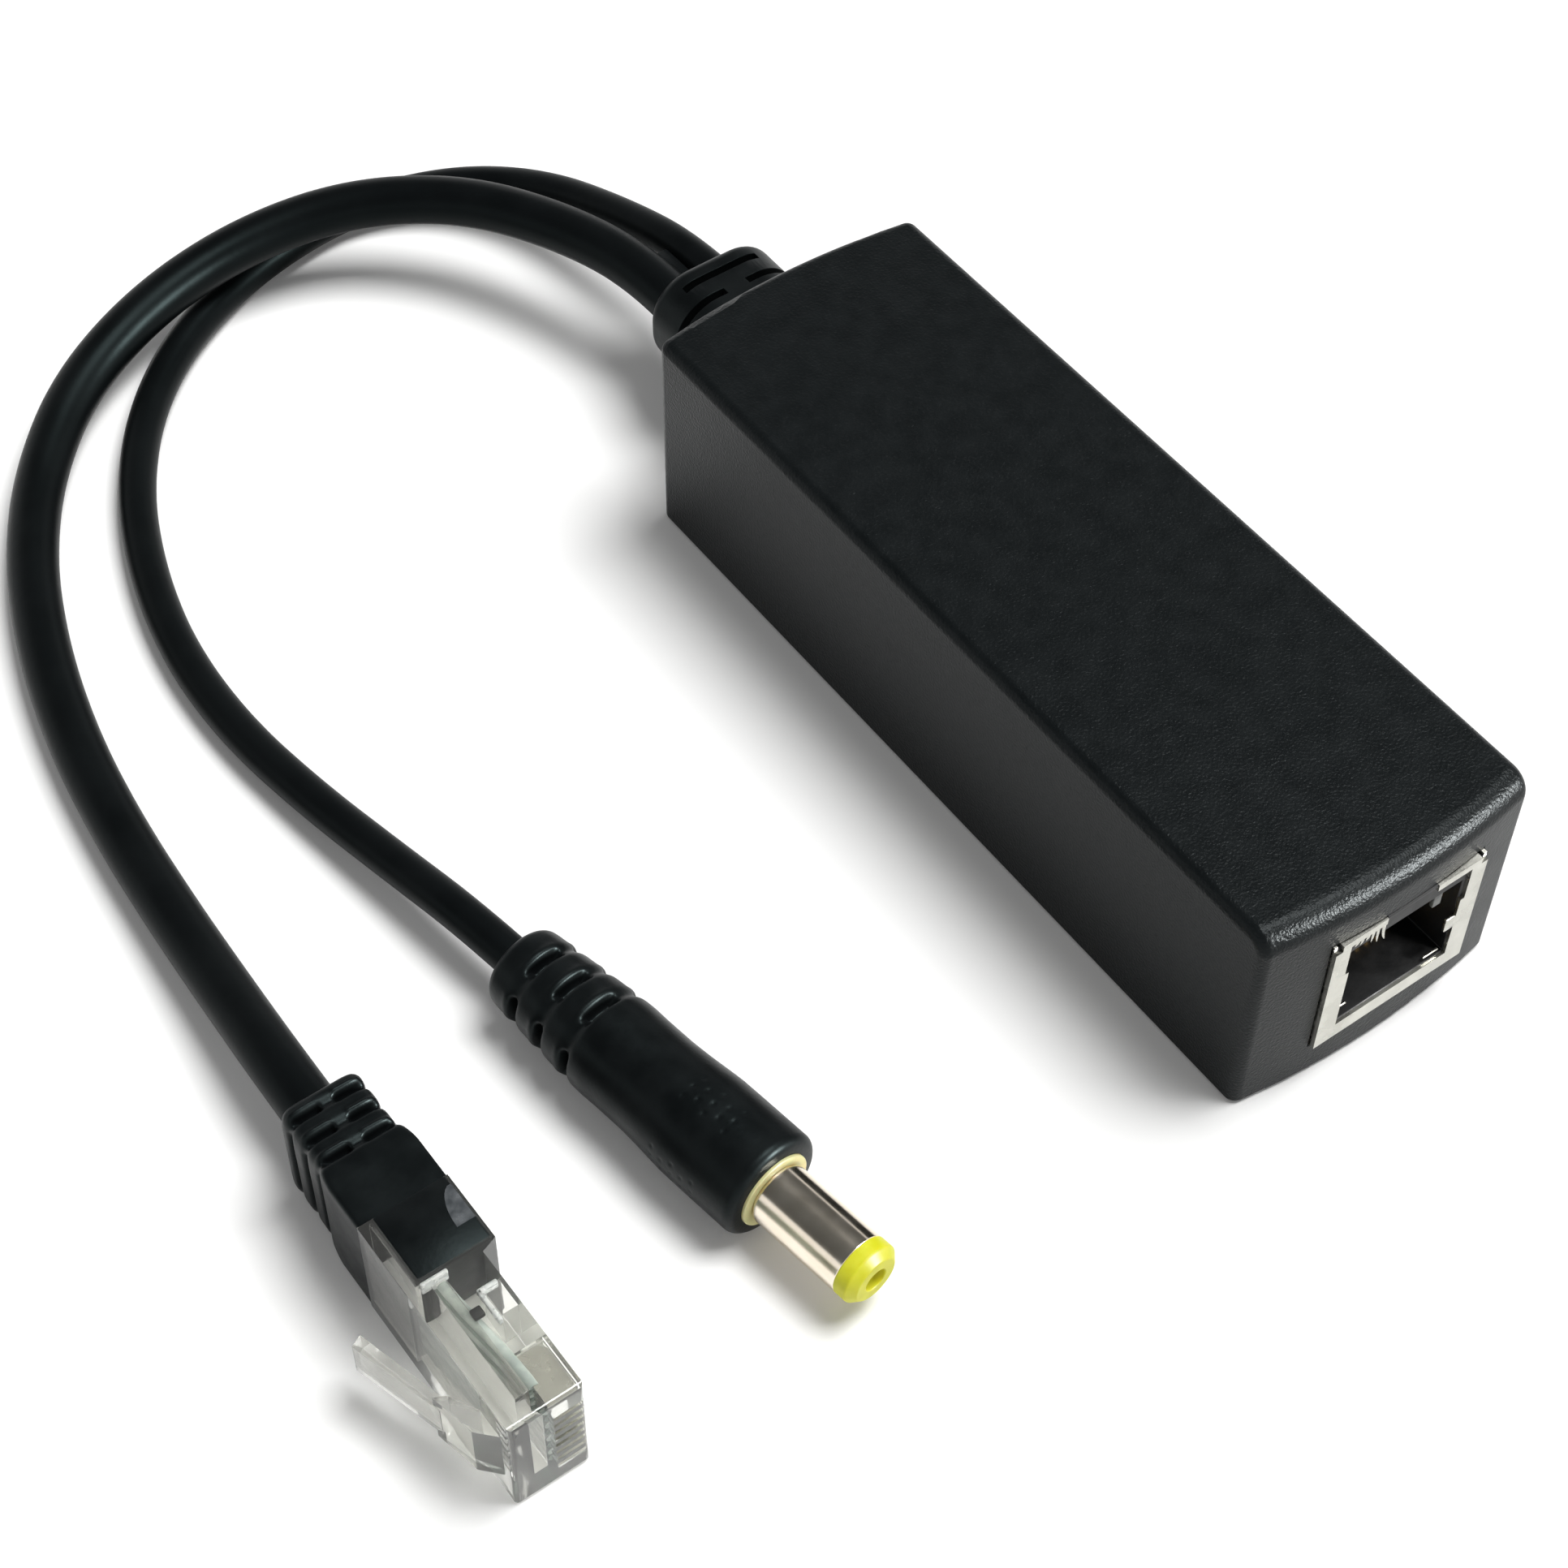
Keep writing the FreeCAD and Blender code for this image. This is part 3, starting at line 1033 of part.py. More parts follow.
leaded_chip("magnetics", "network_transformer", "left", LEFT[0], 8)
leaded_chip("bridge", "bridge_rectifier_front", "right", RIGHT[0], 2)
leaded_chip("bridge", "bridge_rectifier_back", "right", RIGHT[1], 2)
leaded_chip("controller", "controller_chip", "right", RIGHT[2], 4)
leaded_chip("diode", "output_diode", "left", LEFT[2], 1)
leaded_chip("opto", "optocoupler", "left", LEFT[3], 2)


def can_capacitor(name, x, y, diameter, high):
    """A sleeved can standing on the board, with the rolled groove near its base."""
    can = new_body(name)
    profile = new_sketch(can, "profile", "XZ_Plane")
    radius = "%s / 2" % diameter
    polygon(profile, [
        ("0", "0"), (radius, "0"), (radius, "-can_groove_place + can_groove"),
        (radius + " - can_groove", "-can_groove_place"),
        (radius, "-can_groove_place - can_groove"), (radius, "-%s + can_groove" % high),
        (radius + " - can_groove", "-" + high), ("0", "-" + high),
    ])
    revolve(can, profile, "Z_Axis")
    place(can, x, y, JACK_TOP)
    return can


can_capacitor("input_capacitor", "-(%s - bulk_dia / 2)" % SIDE_ROOM, LEFT[1],
              "bulk_dia", "bulk_high")
can_capacitor("output_capacitor", "-(%s - output_dia / 2)" % POST_ROOM, LEFT[4],
              "output_dia", "output_high")

# Power transformer: two E halves round a wound bobbin with pins
CORE_X = "(%s - core_size / 2)" % SIDE_ROOM
CORE_HALF = "core_size / 2"
WINDOW = "(core_size / 2 - core_wall)"
ferrite = new_body("transformer_core")
face = new_sketch(ferrite, "face", offset="-core_depth - core_leg / 2")
rectangle(face, "-" + CORE_HALF, "-" + CORE_HALF, CORE_HALF, CORE_HALF)
pad(ferrite, face, "core_leg")
windows = new_sketch(ferrite, "windows", offset="-core_depth - core_leg / 2")
for side in ("-", ""):
    rectangle(windows, "%s(core_leg / 2)" % side, "-" + WINDOW,
              "%s%s" % (side, WINDOW), WINDOW)
pocket(ferrite, windows, "core_leg", reverse=True)
place(ferrite, CORE_X, RIGHT[3], JACK_TOP)

bobbin = new_body("transformer_bobbin")
WOUND = "(%s - fit_gap)" % WINDOW
winding = new_sketch(bobbin, "winding", "XZ_Plane", "-" + WOUND)
rectangle(winding, "-" + WOUND, "-core_depth - " + WOUND, WOUND, "-core_depth + " + WOUND)
rectangle(winding, "-core_leg / 2 - fit_gap / 2", "-core_depth - core_leg / 2 - fit_gap / 2",
          "core_leg / 2 + fit_gap / 2", "-core_depth + core_leg / 2 + fit_gap / 2")
pad(bobbin, winding, "2 * " + WOUND)
rails = new_sketch(bobbin, "rails", offset="-core_depth + core_leg / 2 + fit_gap")
for side in ("-", ""):
    rectangle(rails, "-" + CORE_HALF, "%s(core_size / 2 - core_wall - bobbin_pin)" % side,
              CORE_HALF, "%s(core_size / 2)" % side)
pad(bobbin, rails, "core_depth - core_leg / 2 - fit_gap - bobbin_lift")
pins = new_sketch(bobbin, "pins", offset="-bobbin_lift")
for side in ("-", ""):
    rectangle(pins, "-core_size / 2", "%s(core_size / 2 - 2 * bobbin_pin)" % side,
              "-core_size / 2 + bobbin_pin", "%s(core_size / 2 - bobbin_pin)" % side)
pins = pad(bobbin, pins, "bobbin_lift")
row_of(bobbin, pins, "X_Axis", "core_size - bobbin_pin", 5)
place(bobbin, CORE_X, RIGHT[3], JACK_TOP)

# Output choke: a drum of ferrite with its winding in the waist
CHOKE_X = "(%s - choke_dia / 2)" % POST_ROOM
drum = new_body("choke_core")
profile = new_sketch(drum, "profile", "XZ_Plane")
polygon(profile, [
    ("0", "0"), ("choke_dia / 2", "0"), ("choke_dia / 2", "-choke_disc"),
    ("choke_waist / 2", "-choke_disc"), ("choke_waist / 2", "-choke_high + choke_disc"),
    ("choke_dia / 2", "-choke_high + choke_disc"), ("choke_dia / 2", "-choke_high"),
    ("0", "-choke_high"),
])
revolve(drum, profile, "Z_Axis")
place(drum, CHOKE_X, RIGHT[4], JACK_TOP)
coil = new_body("choke_winding")
profile = new_sketch(coil, "profile", "XZ_Plane")
rectangle(profile, "choke_waist / 2", "-choke_high + choke_disc",
          "choke_dia / 2 - choke_inset", "-choke_disc")
revolve(coil, profile, "Z_Axis")
place(coil, CHOKE_X, RIGHT[4], JACK_TOP)

# Small chip parts, soldered flat: a row beside the rectifiers, two pairs further back
CHIPS = [("chip_lane", "%s + %d * chip_step" % (JACK_BACK, i + 1)) for i in range(4)]
CHIPS += [("%s - core_size / 2 - part_gap - chip_wide / 2" % CORE_X,
           "%s %s chip_step / 2" % (RIGHT[3], side)) for side in ("-", "+")]
CHIPS += [("(output_dia - choke_dia) / 2", "%s %s chip_step / 2" % (RIGHT[4], side))
          for side in ("-", "+")]
small = []
for i, (x, y) in enumerate(CHIPS):
    small.append(box("chip_%d" % (i + 1), ("chip_wide", "chip_long", "chip_high"),
                     (x + " - chip_wide / 2", y + " - chip_long / 2",
                      JACK_TOP + " - chip_high")))
chips = doc.addObject("Part::Compound", "chip_components")
chips.Label = "chip_components"
chips.Links = small

doc.recompute()

PARTS = [
    "housing_shell", "bottom_cover", "circuit_board", "jack_shield", "jack_insert",
    "jack_contacts", "cable_grommet", "network_tail", "power_tail", "network_cable",
    "power_cable", "network_wires", "power_wires", "plug_body", "plug_contacts",
    "plug_boot", "dc_handle", "dc_collar", "dc_barrel", "dc_tip", "dc_centre_contact",
    "network_transformer", "bridge_rectifier_front", "bridge_rectifier_back",
    "controller_chip", "output_diode", "optocoupler", "input_capacitor",
    "output_capacitor", "transformer_core", "transformer_bobbin", "choke_core",
    "choke_winding", "chip_components",
]
for thing in doc.Objects:
    if "Invalid" in thing.State or "Error" in thing.State:
        raise RuntimeError("%s: %s" % (thing.Name, thing.State))
for name in PARTS:
    shape = doc.getObject(name).Shape
    if shape.isNull() or not shape.isValid():
        raise RuntimeError(name + " has no valid shape")
for name in PARTS:
    shape = doc.getObject(name).Shape
    shape.exportStep("parts/%s.step" % name)
    print("%-24s %2d solid(s) %10.2f mm3" % (name, len(shape.Solids), shape.Volume))
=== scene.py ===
import math
import bmesh
import bpy
import numpy as np
from mathutils import Euler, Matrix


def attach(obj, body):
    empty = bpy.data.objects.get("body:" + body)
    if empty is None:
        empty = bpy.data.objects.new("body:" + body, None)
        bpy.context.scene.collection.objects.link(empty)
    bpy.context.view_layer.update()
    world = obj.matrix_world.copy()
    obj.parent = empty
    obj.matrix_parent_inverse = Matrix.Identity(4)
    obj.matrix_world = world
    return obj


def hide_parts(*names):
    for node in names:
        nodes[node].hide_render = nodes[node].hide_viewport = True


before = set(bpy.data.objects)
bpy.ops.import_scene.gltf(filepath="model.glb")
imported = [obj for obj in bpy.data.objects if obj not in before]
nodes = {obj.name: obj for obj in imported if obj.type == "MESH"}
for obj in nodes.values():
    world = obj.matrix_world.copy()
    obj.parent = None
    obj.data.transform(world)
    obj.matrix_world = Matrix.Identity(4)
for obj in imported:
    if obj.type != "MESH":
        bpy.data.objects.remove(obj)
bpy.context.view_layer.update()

mm = 0.001
print("frame loaded:", len(nodes), "nodes")


def linear(code):  # an sRGB hex colour as linear red, green, blue and full alpha
    parts = [int(code[i:i + 2], 16) / 255 for i in (1, 3, 5)]
    return [p / 12.92 if p <= 0.04045 else ((p + 0.055) / 1.055) ** 2.4 for p in parts] + [1]


# One shader node: settings are its attributes or input values, links are what feeds its inputs
def addNode(tree, kind, settings=None, links=None):
    node = tree.nodes.new(kind)
    for key, value in (settings or {}).items():
        if key in node.inputs:
            node.inputs[key].default_value = value
        else:
            setattr(node, key, value)
    for key, source in (links or {}).items():
        tree.links.new(source, node.inputs[key])
    return node


# Cables first: the route points are part.py's own, in millimetres
networkCable = {
    "dia": 4.7, "length": 0.164,
    "route": [(-3.2, 52.3, 10.9), (-3.15, 58.5, 11.1), (-5.8, 68.4, 10.7), (-11.1, 78.5, 9.8),
              (-19.6, 85.5, 8.5), (-30.1, 88.3, 7.0), (-41.2, 87.3, 5.6), (-51.5, 83.4, 3.7),
              (-59.5, 76.0, 2.6), (-65.3, 66.8, 2.4), (-69.4, 56.5, 2.4), (-72.1, 45.9, 2.4),
              (-73.6, 35.2, 2.5), (-74.4, 24.1, 3.0), (-75.0, 13.0, 4.2), (-75.55, 3.5, 5.84),
              (-75.55, -2.7, 5.84)]}
powerCable = {
    "dia": 3.5, "length": 0.161,
    "route": [(2.1, 52.3, 10.9), (2.1, 58.3, 10.9), (0.8, 68.1, 9.0), (-1.6, 78.7, 6.4),
              (-7.6, 87.1, 3.9), (-16.9, 91.3, 2.2), (-27.7, 90.1, 1.8), (-37.9, 85.9, 1.8),
              (-46.4, 79.1, 1.8), (-52.7, 70.5, 1.8), (-57.0, 60.5, 1.8), (-59.5, 50.0, 1.8),
              (-59.9, 39.3, 1.9), (-58.6, 28.5, 2.4), (-56.8, 17.7, 3.5),
              (-55.281, 8.236, 4.8), (-54.4, 2.2, 4.8)]}


# A smooth spline steered by the route's points, as thick as the cable
def makeCable(name, sizes):
    data = bpy.data.curves.new(name, "CURVE")
    data.dimensions = "3D"
    spline = data.splines.new("NURBS")
    spline.points.add(len(sizes["route"]) - 1)
    points = np.ones((len(sizes["route"]), 4))
    points[:, :3] = np.array(sizes["route"]) * mm
    spline.points.foreach_set("co", points.ravel())
    spline.order_u = 3
    spline.use_endpoint_u = True
    spline.resolution_u = 16
    spline.points.foreach_set("radius", np.full(len(sizes["route"]), sizes["dia"] / 2 * mm))
    data.bevel_depth = 1.0  # times each point's radius, which is the cable's own
    data.bevel_resolution = 10
    cable = bpy.data.objects.new(name, data)
    bpy.context.collection.objects.link(cable)
    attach(cable, "root")
    return cable


networkLine = makeCable("networkCable", networkCable)
powerLine = makeCable("powerCable", powerCable)
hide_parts("network_cable")
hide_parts("power_cable")
print("cables laid")

# Camera: stands where the photograph was taken from, in millimetres and degrees
cameraSizes = {"place": (-125.0, -127.87, 214.09), "turn": (38.312, -0.521, -36.114), "lens": 72.05}
lens = bpy.data.cameras.new("camera")
lens.lens = cameraSizes["lens"]
lens.sensor_width = 36
lens.sensor_fit = "AUTO"
lens.clip_start = 0.01
lens.clip_end = 20
camera = bpy.data.objects.new("camera", lens)
camera.location = [v * mm for v in cameraSizes["place"]]
camera.rotation_euler = Euler([math.radians(v) for v in cameraSizes["turn"]])
bpy.context.collection.objects.link(camera)
bpy.context.scene.camera = camera

# Studio: a soft key light overhead, a little to the right, a small lamp low in front that
# only the front edge mirrors, and an even pale room. Places and sizes in metres.
lights = {
    "key": {"place": (0.53, -0.22, 1.60), "aim": (-0.03, 0.02, 0), "size": 0.8, "watts": 31.6},
    "edgeLamp": {"place": (0.42, -0.66, 0.30), "aim": (0, -0.02, 0.01), "size": 0.2, "watts": 24},
}
room = {"soft": 0.27, "white": 1.0, "floor": "#f8f8f7", "lift": 0.05, "floorWide": 1.8,
        "silkHigh": 2.2, "silkWide": 8.0}
for name, lamp in lights.items():
    data = bpy.data.lights.new(name, "AREA")
    data.shape = "SQUARE"
    data.size = lamp["size"]
    data.energy = lamp["watts"]
    light = bpy.data.objects.new(name, data)
    light.location = lamp["place"]
    aim = np.array(lamp["aim"]) - np.array(lamp["place"])
    flat = math.hypot(aim[0], aim[1])
    light.rotation_euler = Euler((math.atan2(flat, -aim[2]), 0, math.atan2(-aim[0], aim[1])))
    bpy.context.collection.objects.link(light)
    light.visible_diffuse = name != "edgeLamp"


# 1 for camera, transmission and glossy rays, which see the room and floor paler than they light
def seenRays(tree):
    rays = addNode(tree, "ShaderNodeLightPath")
    direct = addNode(tree, "ShaderNodeMath", {"operation": "MAXIMUM"},
                     {0: rays.outputs["Is Camera Ray"], 1: rays.outputs["Is Transmission Ray"]})
    seen = addNode(tree, "ShaderNodeMath", {"operation": "MAXIMUM"},
                   {0: direct.outputs[0], 1: rays.outputs["Is Glossy Ray"]})
    return seen.outputs[0]


world = bpy.data.worlds.new("studio")
bpy.context.scene.world = world
world.use_nodes = True
tree = world.node_tree
tree.nodes.clear()
soft = addNode(tree, "ShaderNodeBackground", {"Color": (1, 1, 1, 1), "Strength": room["soft"]})
white = addNode(tree, "ShaderNodeBackground", {"Color": (1, 1, 1, 1), "Strength": room["white"]})
mix = addNode(tree, "ShaderNodeMixShader", {}, {0: seenRays(tree), 1: soft.outputs[0], 2: white.outputs[0]})
addNode(tree, "ShaderNodeOutputWorld", {}, {"Surface": mix.outputs[0]})
bpy.context.scene.view_settings.view_transform = "Standard"


# A material with one Principled surface, and its tree ready for more nodes
def newMaterial(name, settings):
    material = bpy.data.materials.new(name)
    material.use_nodes = True
    tree = material.node_tree
    tree.nodes.clear()
    surface = addNode(tree, "ShaderNodeBsdfPrincipled", settings)
    addNode(tree, "ShaderNodeOutputMaterial", {}, {"Surface": surface.outputs[0]})
    return material, tree, surface


bpy.ops.mesh.primitive_plane_add(size=room["floorWide"], location=(0, 0, -0.0001))
floor = bpy.context.object
floor.name = "floor"
floorPaint, tree, surface = newMaterial("paintedBoard", {
    "Roughness": 0.9, "Specular IOR Level": 0.1, "Base Color": linear(room["floor"]),
    "Emission Color": (1, 1, 1, 1)})
lift = addNode(tree, "ShaderNodeMath", {"operation": "MULTIPLY"}, {0: seenRays(tree)})
lift.inputs[1].default_value = room["lift"]
tree.links.new(lift.outputs[0], surface.inputs["Emission Strength"])
floor.data.materials.append(floorPaint)

# A grey silk over the set: only shine meets it, so that upward faces mirror a dim ceiling
bpy.ops.mesh.primitive_plane_add(size=room["silkWide"], location=(0, 0, room["silkHigh"]))
silk = bpy.context.object
silk.name = "silk"
silkCloth, tree, surface = newMaterial("greySilk", {"Roughness": 1.0, "Specular IOR Level": 0.0,
                                                    "Base Color": linear("#8f9293")})
silk.data.materials.append(silkCloth)
silk.visible_camera = False
silk.visible_diffuse = False
silk.visible_transmission = False
silk.visible_shadow = False
print("camera, lights and floor set")

# Finishes. In each: tones are the two colours that the surface wanders between, mottle is how
# wide the wandering is, grain and depth are the fine relief's width and height, all in
# millimetres; rough is the lowest and highest roughness; surface holds plain values.
finishSizes = {
    # ABS moulded in a spark-eroded tool: a dark charcoal skin of small dull crystals
    "sparkErodedAbs": {"tones": ("#0f1213", "#131617"), "mottle": 2.5, "grain": 0.23, "depth": 0.056,
                       "rough": (0.3, 0.34),
                       "surface": {"Specular IOR Level": 0.12, "Specular Tint": linear("#ebf3f4")}},
    # PVC drawn over the wires: smooth black with a soft broad shine
    "extrudedPvc": {"tones": ("#0a0c0d", "#0e1011"), "mottle": 7, "grain": 0.9, "depth": 0.012,
                    "rough": (0.34, 0.42),
                    "surface": {"Specular IOR Level": 0.075, "Specular Tint": linear("#cfeeee")}},
    # PVC moulded over the cable: satin black, faintly cloudy
    "overmouldedPvc": {"tones": ("#0b0d0e", "#101213"), "mottle": 3, "grain": 0.4, "depth": 0.012,
                       "rough": (0.32, 0.44),
                       "surface": {"Specular IOR Level": 0.13, "Specular Tint": linear("#d6efef")}},
    # glass-filled nylon: flat black, swallows light deep in the jack; the same black also serves as a painted
    # shadow in the clear nose
    "blackNylonAndPaintedShadow": {"tones": ("#08090a", "#0d0e0f"), "mottle": 1.5, "grain": 0.3, "depth": 0.012,
                     "rough": (0.45, 0.6), "surface": {"Specular IOR Level": 0.3}},
    # sheet brass with bright nickel, stamped: pale warm grey with faint rolling lines
    "nickelPlatedSheet": {"tones": ("#b4b3ab", "#c3c2ba"), "mottle": 2.5, "grain": 0.5, "depth": 0.006,
                          "rough": (0.24, 0.33), "surface": {"Metallic": 1.0}, "stretch": (0.15, 1, 1)},
    # turned brass tube with bright nickel: darker, mirror-like, faint turning rings
    "nickelPlatedTube": {"tones": ("#eee2cf", "#f7ecdb"), "mottle": 2.5, "grain": 0.25, "depth": 0.0008,
                         "rough": (0.15, 0.21), "surface": {"Metallic": 1.0}, "stretch": (0.2, 1, 0.2)},
    # hard gold over nickel: warm yellow metal
    "goldPlate": {"tones": ("#d9ab58", "#e6bd70"), "mottle": 1.2, "grain": 0.4, "depth": 0.003,
                  "rough": (0.2, 0.3), "surface": {"Metallic": 1.0}},
    # natural nylon ring: pale straw yellow, a little translucent
    "naturalNylon": {"tones": ("#c9c48a", "#d5d19c"), "mottle": 1.5, "grain": 0.4, "depth": 0.006,
                     "rough": (0.35, 0.45), "surface": {"Subsurface Weight": 0.15, "Subsurface Scale": 0.001}},
    # dyed acetal tip: lemon yellow with a smooth shine
    "dyedAcetal": {"tones": ("#d3d21e", "#dddc36"), "mottle": 1.5, "grain": 0.4, "depth": 0.004,
                   "rough": (0.38, 0.46),
                   "surface": {"Subsurface Weight": 0.1, "Subsurface Scale": 0.001, "Specular IOR Level": 0.3}},
    # clear polycarbonate from a polished tool: glassy, with faint flow waves
    "clearPolycarbonate": {"tones": ("#ecece6", "#f5f5f0"), "mottle": 4, "grain": 2.5, "depth": 0.02,
                           "rough": (0.015, 0.05), "surface": {"Transmission Weight": 0.96, "IOR": 1.58}},
    # green solder mask over woven glass: the weave shows faintly
    "solderMask": {"tones": ("#174a2f", "#1f5f3d"), "mottle": 2, "grain": 0.6, "depth": 0.015,
                   "rough": (0.3, 0.42), "surface": {}},
    # epoxy pack from a matt tool: dull black
    "mouldedEpoxy": {"tones": ("#19191b", "#222224"), "mottle": 1, "grain": 0.2, "depth": 0.015,
                     "rough": (0.55, 0.7), "surface": {}},
    # white epoxy of an optocoupler: chalky
    "whiteEpoxy": {"tones": ("#dedcd2", "#e9e7df"), "mottle": 1, "grain": 0.2, "depth": 0.012,
                   "rough": (0.5, 0.65), "surface": {}},
    # shrink sleeve on a can: dark blue with a soft shine
    "shrinkSleeve": {"tones": ("#172033", "#1e293f"), "mottle": 3, "grain": 0.8, "depth": 0.02,
                     "rough": (0.25, 0.36), "surface": {}},
    # sintered ferrite: dark grey ceramic with pores
    "sinteredFerrite": {"tones": ("#333335", "#414144"), "mottle": 0.8, "grain": 0.15, "depth": 0.02,
                        "rough": (0.55, 0.7), "surface": {}},
    # polyester tape round a winding: amber and shiny
    "polyesterTape": {"tones": ("#d69d22", "#e6b338"), "mottle": 3, "grain": 1.2, "depth": 0.02,
                      "rough": (0.2, 0.32), "surface": {}},
    # enamelled copper wire wound close: reddish, ridged by its turns
    "enamelledCopper": {"tones": ("#96491f", "#b36232"), "mottle": 0.8, "grain": 0.35, "depth": 0.05,
                        "rough": (0.28, 0.4), "surface": {"Metallic": 0.8}, "stretch": (0.1, 0.1, 1)},
    # fired ceramic chips: brown with pale ends
    "firedCeramic": {"tones": ("#7d5d3e", "#9b7c5a"), "mottle": 0.6, "grain": 0.2, "depth": 0.01,
                     "rough": (0.45, 0.6), "surface": {}},
    # polyolefin wire sleeves: soft semi-gloss
    "wireInsulation": {"tones": ("#b86d28", "#cc8038"), "mottle": 2, "grain": 0.6, "depth": 0.01,
                       "rough": (0.32, 0.45), "surface": {}},
    # polycarbonate whitened where it was pressed: milky; on the crimp face the same white is also a painted
    # reflection
    "whitenedAndReflectionPolycarbonate": {"tones": ("#dfe3e4", "#f2f4f4"), "mottle": 1.0, "grain": 0.5, "depth": 0.01,
                              "rough": (0.2, 0.35), "surface": {"Transmission Weight": 0.3, "IOR": 1.58}},
    # painted reflection: the same, tinted grey where the black core ends under it, in place of the pale
    # reflection there
    "reflectionGreyPolycarbonate": {"tones": ("#45494c", "#65696c"), "mottle": 1.2, "grain": 0.5, "depth": 0.01,
                           "rough": (0.15, 0.3), "surface": {"Transmission Weight": 0.2, "IOR": 1.58}},
    # natural nylon edges of the insert, smoky grey
    "greyNylon": {"tones": ("#3a3c3a", "#5c5e5b"), "mottle": 0.8, "grain": 0.3, "depth": 0.02,
                  "rough": (0.35, 0.5), "surface": {}},
    # dyed polyolefin sleeves seen through the clear plug: dull green
    "dullInsulation": {"tones": ("#56685e", "#6f8076"), "mottle": 1.5, "grain": 0.6, "depth": 0.01,
                       "rough": (0.32, 0.45), "surface": {}},
    # undyed polyolefin sleeves seen through the clear plug: greenish grey
    "paleInsulation": {"tones": ("#8f9a94", "#b9c2bc"), "mottle": 1.5, "grain": 0.6, "depth": 0.01,
                       "rough": (0.32, 0.45), "surface": {}},
}


# Mottled colour and roughness over a fine relief, all from noise on the object's own
# coordinates; stretch draws the grain out along an axis
def makeFinish(name):
    sizes = finishSizes[name]
    material, tree, surface = newMaterial(name, sizes["surface"])
    spot = addNode(tree, "ShaderNodeTexCoord")
    drawn = addNode(tree, "ShaderNodeMapping", {"Scale": sizes.get("stretch", (1, 1, 1))},
                    {"Vector": spot.outputs["Object"]})
    mottle = addNode(tree, "ShaderNodeTexNoise", {"Scale": 1 / (sizes["mottle"] * mm), "Detail": 3.0},
                     {"Vector": spot.outputs["Object"]})
    colour = addNode(tree, "ShaderNodeValToRGB", {}, {"Fac": mottle.outputs[0]})
    for element, tone, at in zip(colour.color_ramp.elements, sizes["tones"], (0.36, 0.64)):
        element.color = linear(tone)
        element.position = at
    rough = addNode(tree, "ShaderNodeMapRange", {"From Min": 0.3, "From Max": 0.7,
                                                 "To Min": sizes["rough"][0], "To Max": sizes["rough"][1]},
                    {"Value": mottle.outputs[0]})
    grain = addNode(tree, "ShaderNodeTexNoise", {"Scale": 1 / (sizes["grain"] * mm), "Detail": 2.0},
                    {"Vector": drawn.outputs[0]})
    relief = addNode(tree, "ShaderNodeBump", {"Distance": sizes["depth"] * mm, "Strength": 1.0},
                     {"Height": grain.outputs[0]})
    tree.links.new(colour.outputs[0], surface.inputs["Base Color"])
    tree.links.new(rough.outputs[0], surface.inputs["Roughness"])
    tree.links.new(relief.outputs[0], surface.inputs["Normal"])
    return material


finishes = {name: makeFinish(name) for name in finishSizes}


# Sprung bronze, gold only along the edge that touches: dull nickel grey elsewhere
def makeBladeFinish(name, edgeAt, fade):
    material = makeFinish("goldPlate")
    material.name = name
    tree = material.node_tree
    surface = [n for n in tree.nodes if n.type == "BSDF_PRINCIPLED"][0]
    gold = surface.inputs["Base Color"].links[0].from_socket
    spot = addNode(tree, "ShaderNodeTexCoord")
    split = addNode(tree, "ShaderNodeSeparateXYZ", {}, {"Vector": spot.outputs["Object"]})
    share = addNode(tree, "ShaderNodeMapRange", {"From Min": (edgeAt - fade) * mm, "From Max": edgeAt * mm},
                    {"Value": split.outputs["X"]})
    both = addNode(tree, "ShaderNodeMix", {"data_type": "RGBA"})
    tree.links.new(share.outputs[0], both.inputs[0])
    both.inputs[6].default_value = linear("#a9a89f")
    tree.links.new(gold, both.inputs[7])
    tree.links.new(both.outputs[2], surface.inputs["Base Color"])
    return material


finishes["edgePlatedBronze"] = makeBladeFinish("edgePlatedBronze", -72.3, 0.4)
print("finishes made:", len(finishes))

pieces = {  # node: finish, for every carried-over piece
    "housing_shell": "sparkErodedAbs", "bottom_cover": "sparkErodedAbs", "circuit_board": "solderMask",
    "jack_shield": "nickelPlatedSheet", "jack_insert": "blackNylonAndPaintedShadow", "jack_contacts": "goldPlate",
    "cable_grommet": "overmouldedPvc", "network_tail": "extrudedPvc", "power_tail": "extrudedPvc",
    "network_wires": "wireInsulation", "power_wires": "wireInsulation",
    "plug_body": "clearPolycarbonate", "plug_contacts": "edgePlatedBronze", "plug_boot": "overmouldedPvc",
    "dc_handle": "overmouldedPvc", "dc_collar": "naturalNylon", "dc_barrel": "nickelPlatedTube",
    "dc_tip": "dyedAcetal", "dc_centre_contact": "nickelPlatedTube",
    "network_transformer": "mouldedEpoxy", "bridge_rectifier_front": "mouldedEpoxy",
    "bridge_rectifier_back": "mouldedEpoxy", "controller_chip": "mouldedEpoxy",
    "output_diode": "mouldedEpoxy", "optocoupler": "whiteEpoxy", "input_capacitor": "shrinkSleeve",
    "output_capacitor": "shrinkSleeve", "transformer_core": "sinteredFerrite",
    "transformer_bobbin": "polyesterTape", "choke_core": "sinteredFerrite",
    "choke_winding": "enamelledCopper", "chip_components": "firedCeramic",
}
for node, finish in pieces.items():
    for holder in nodes[node].material_slots:
        holder.material = finishes[finish]
for line in (networkLine, powerLine):
    line.data.materials.append(finishes["extrudedPvc"])

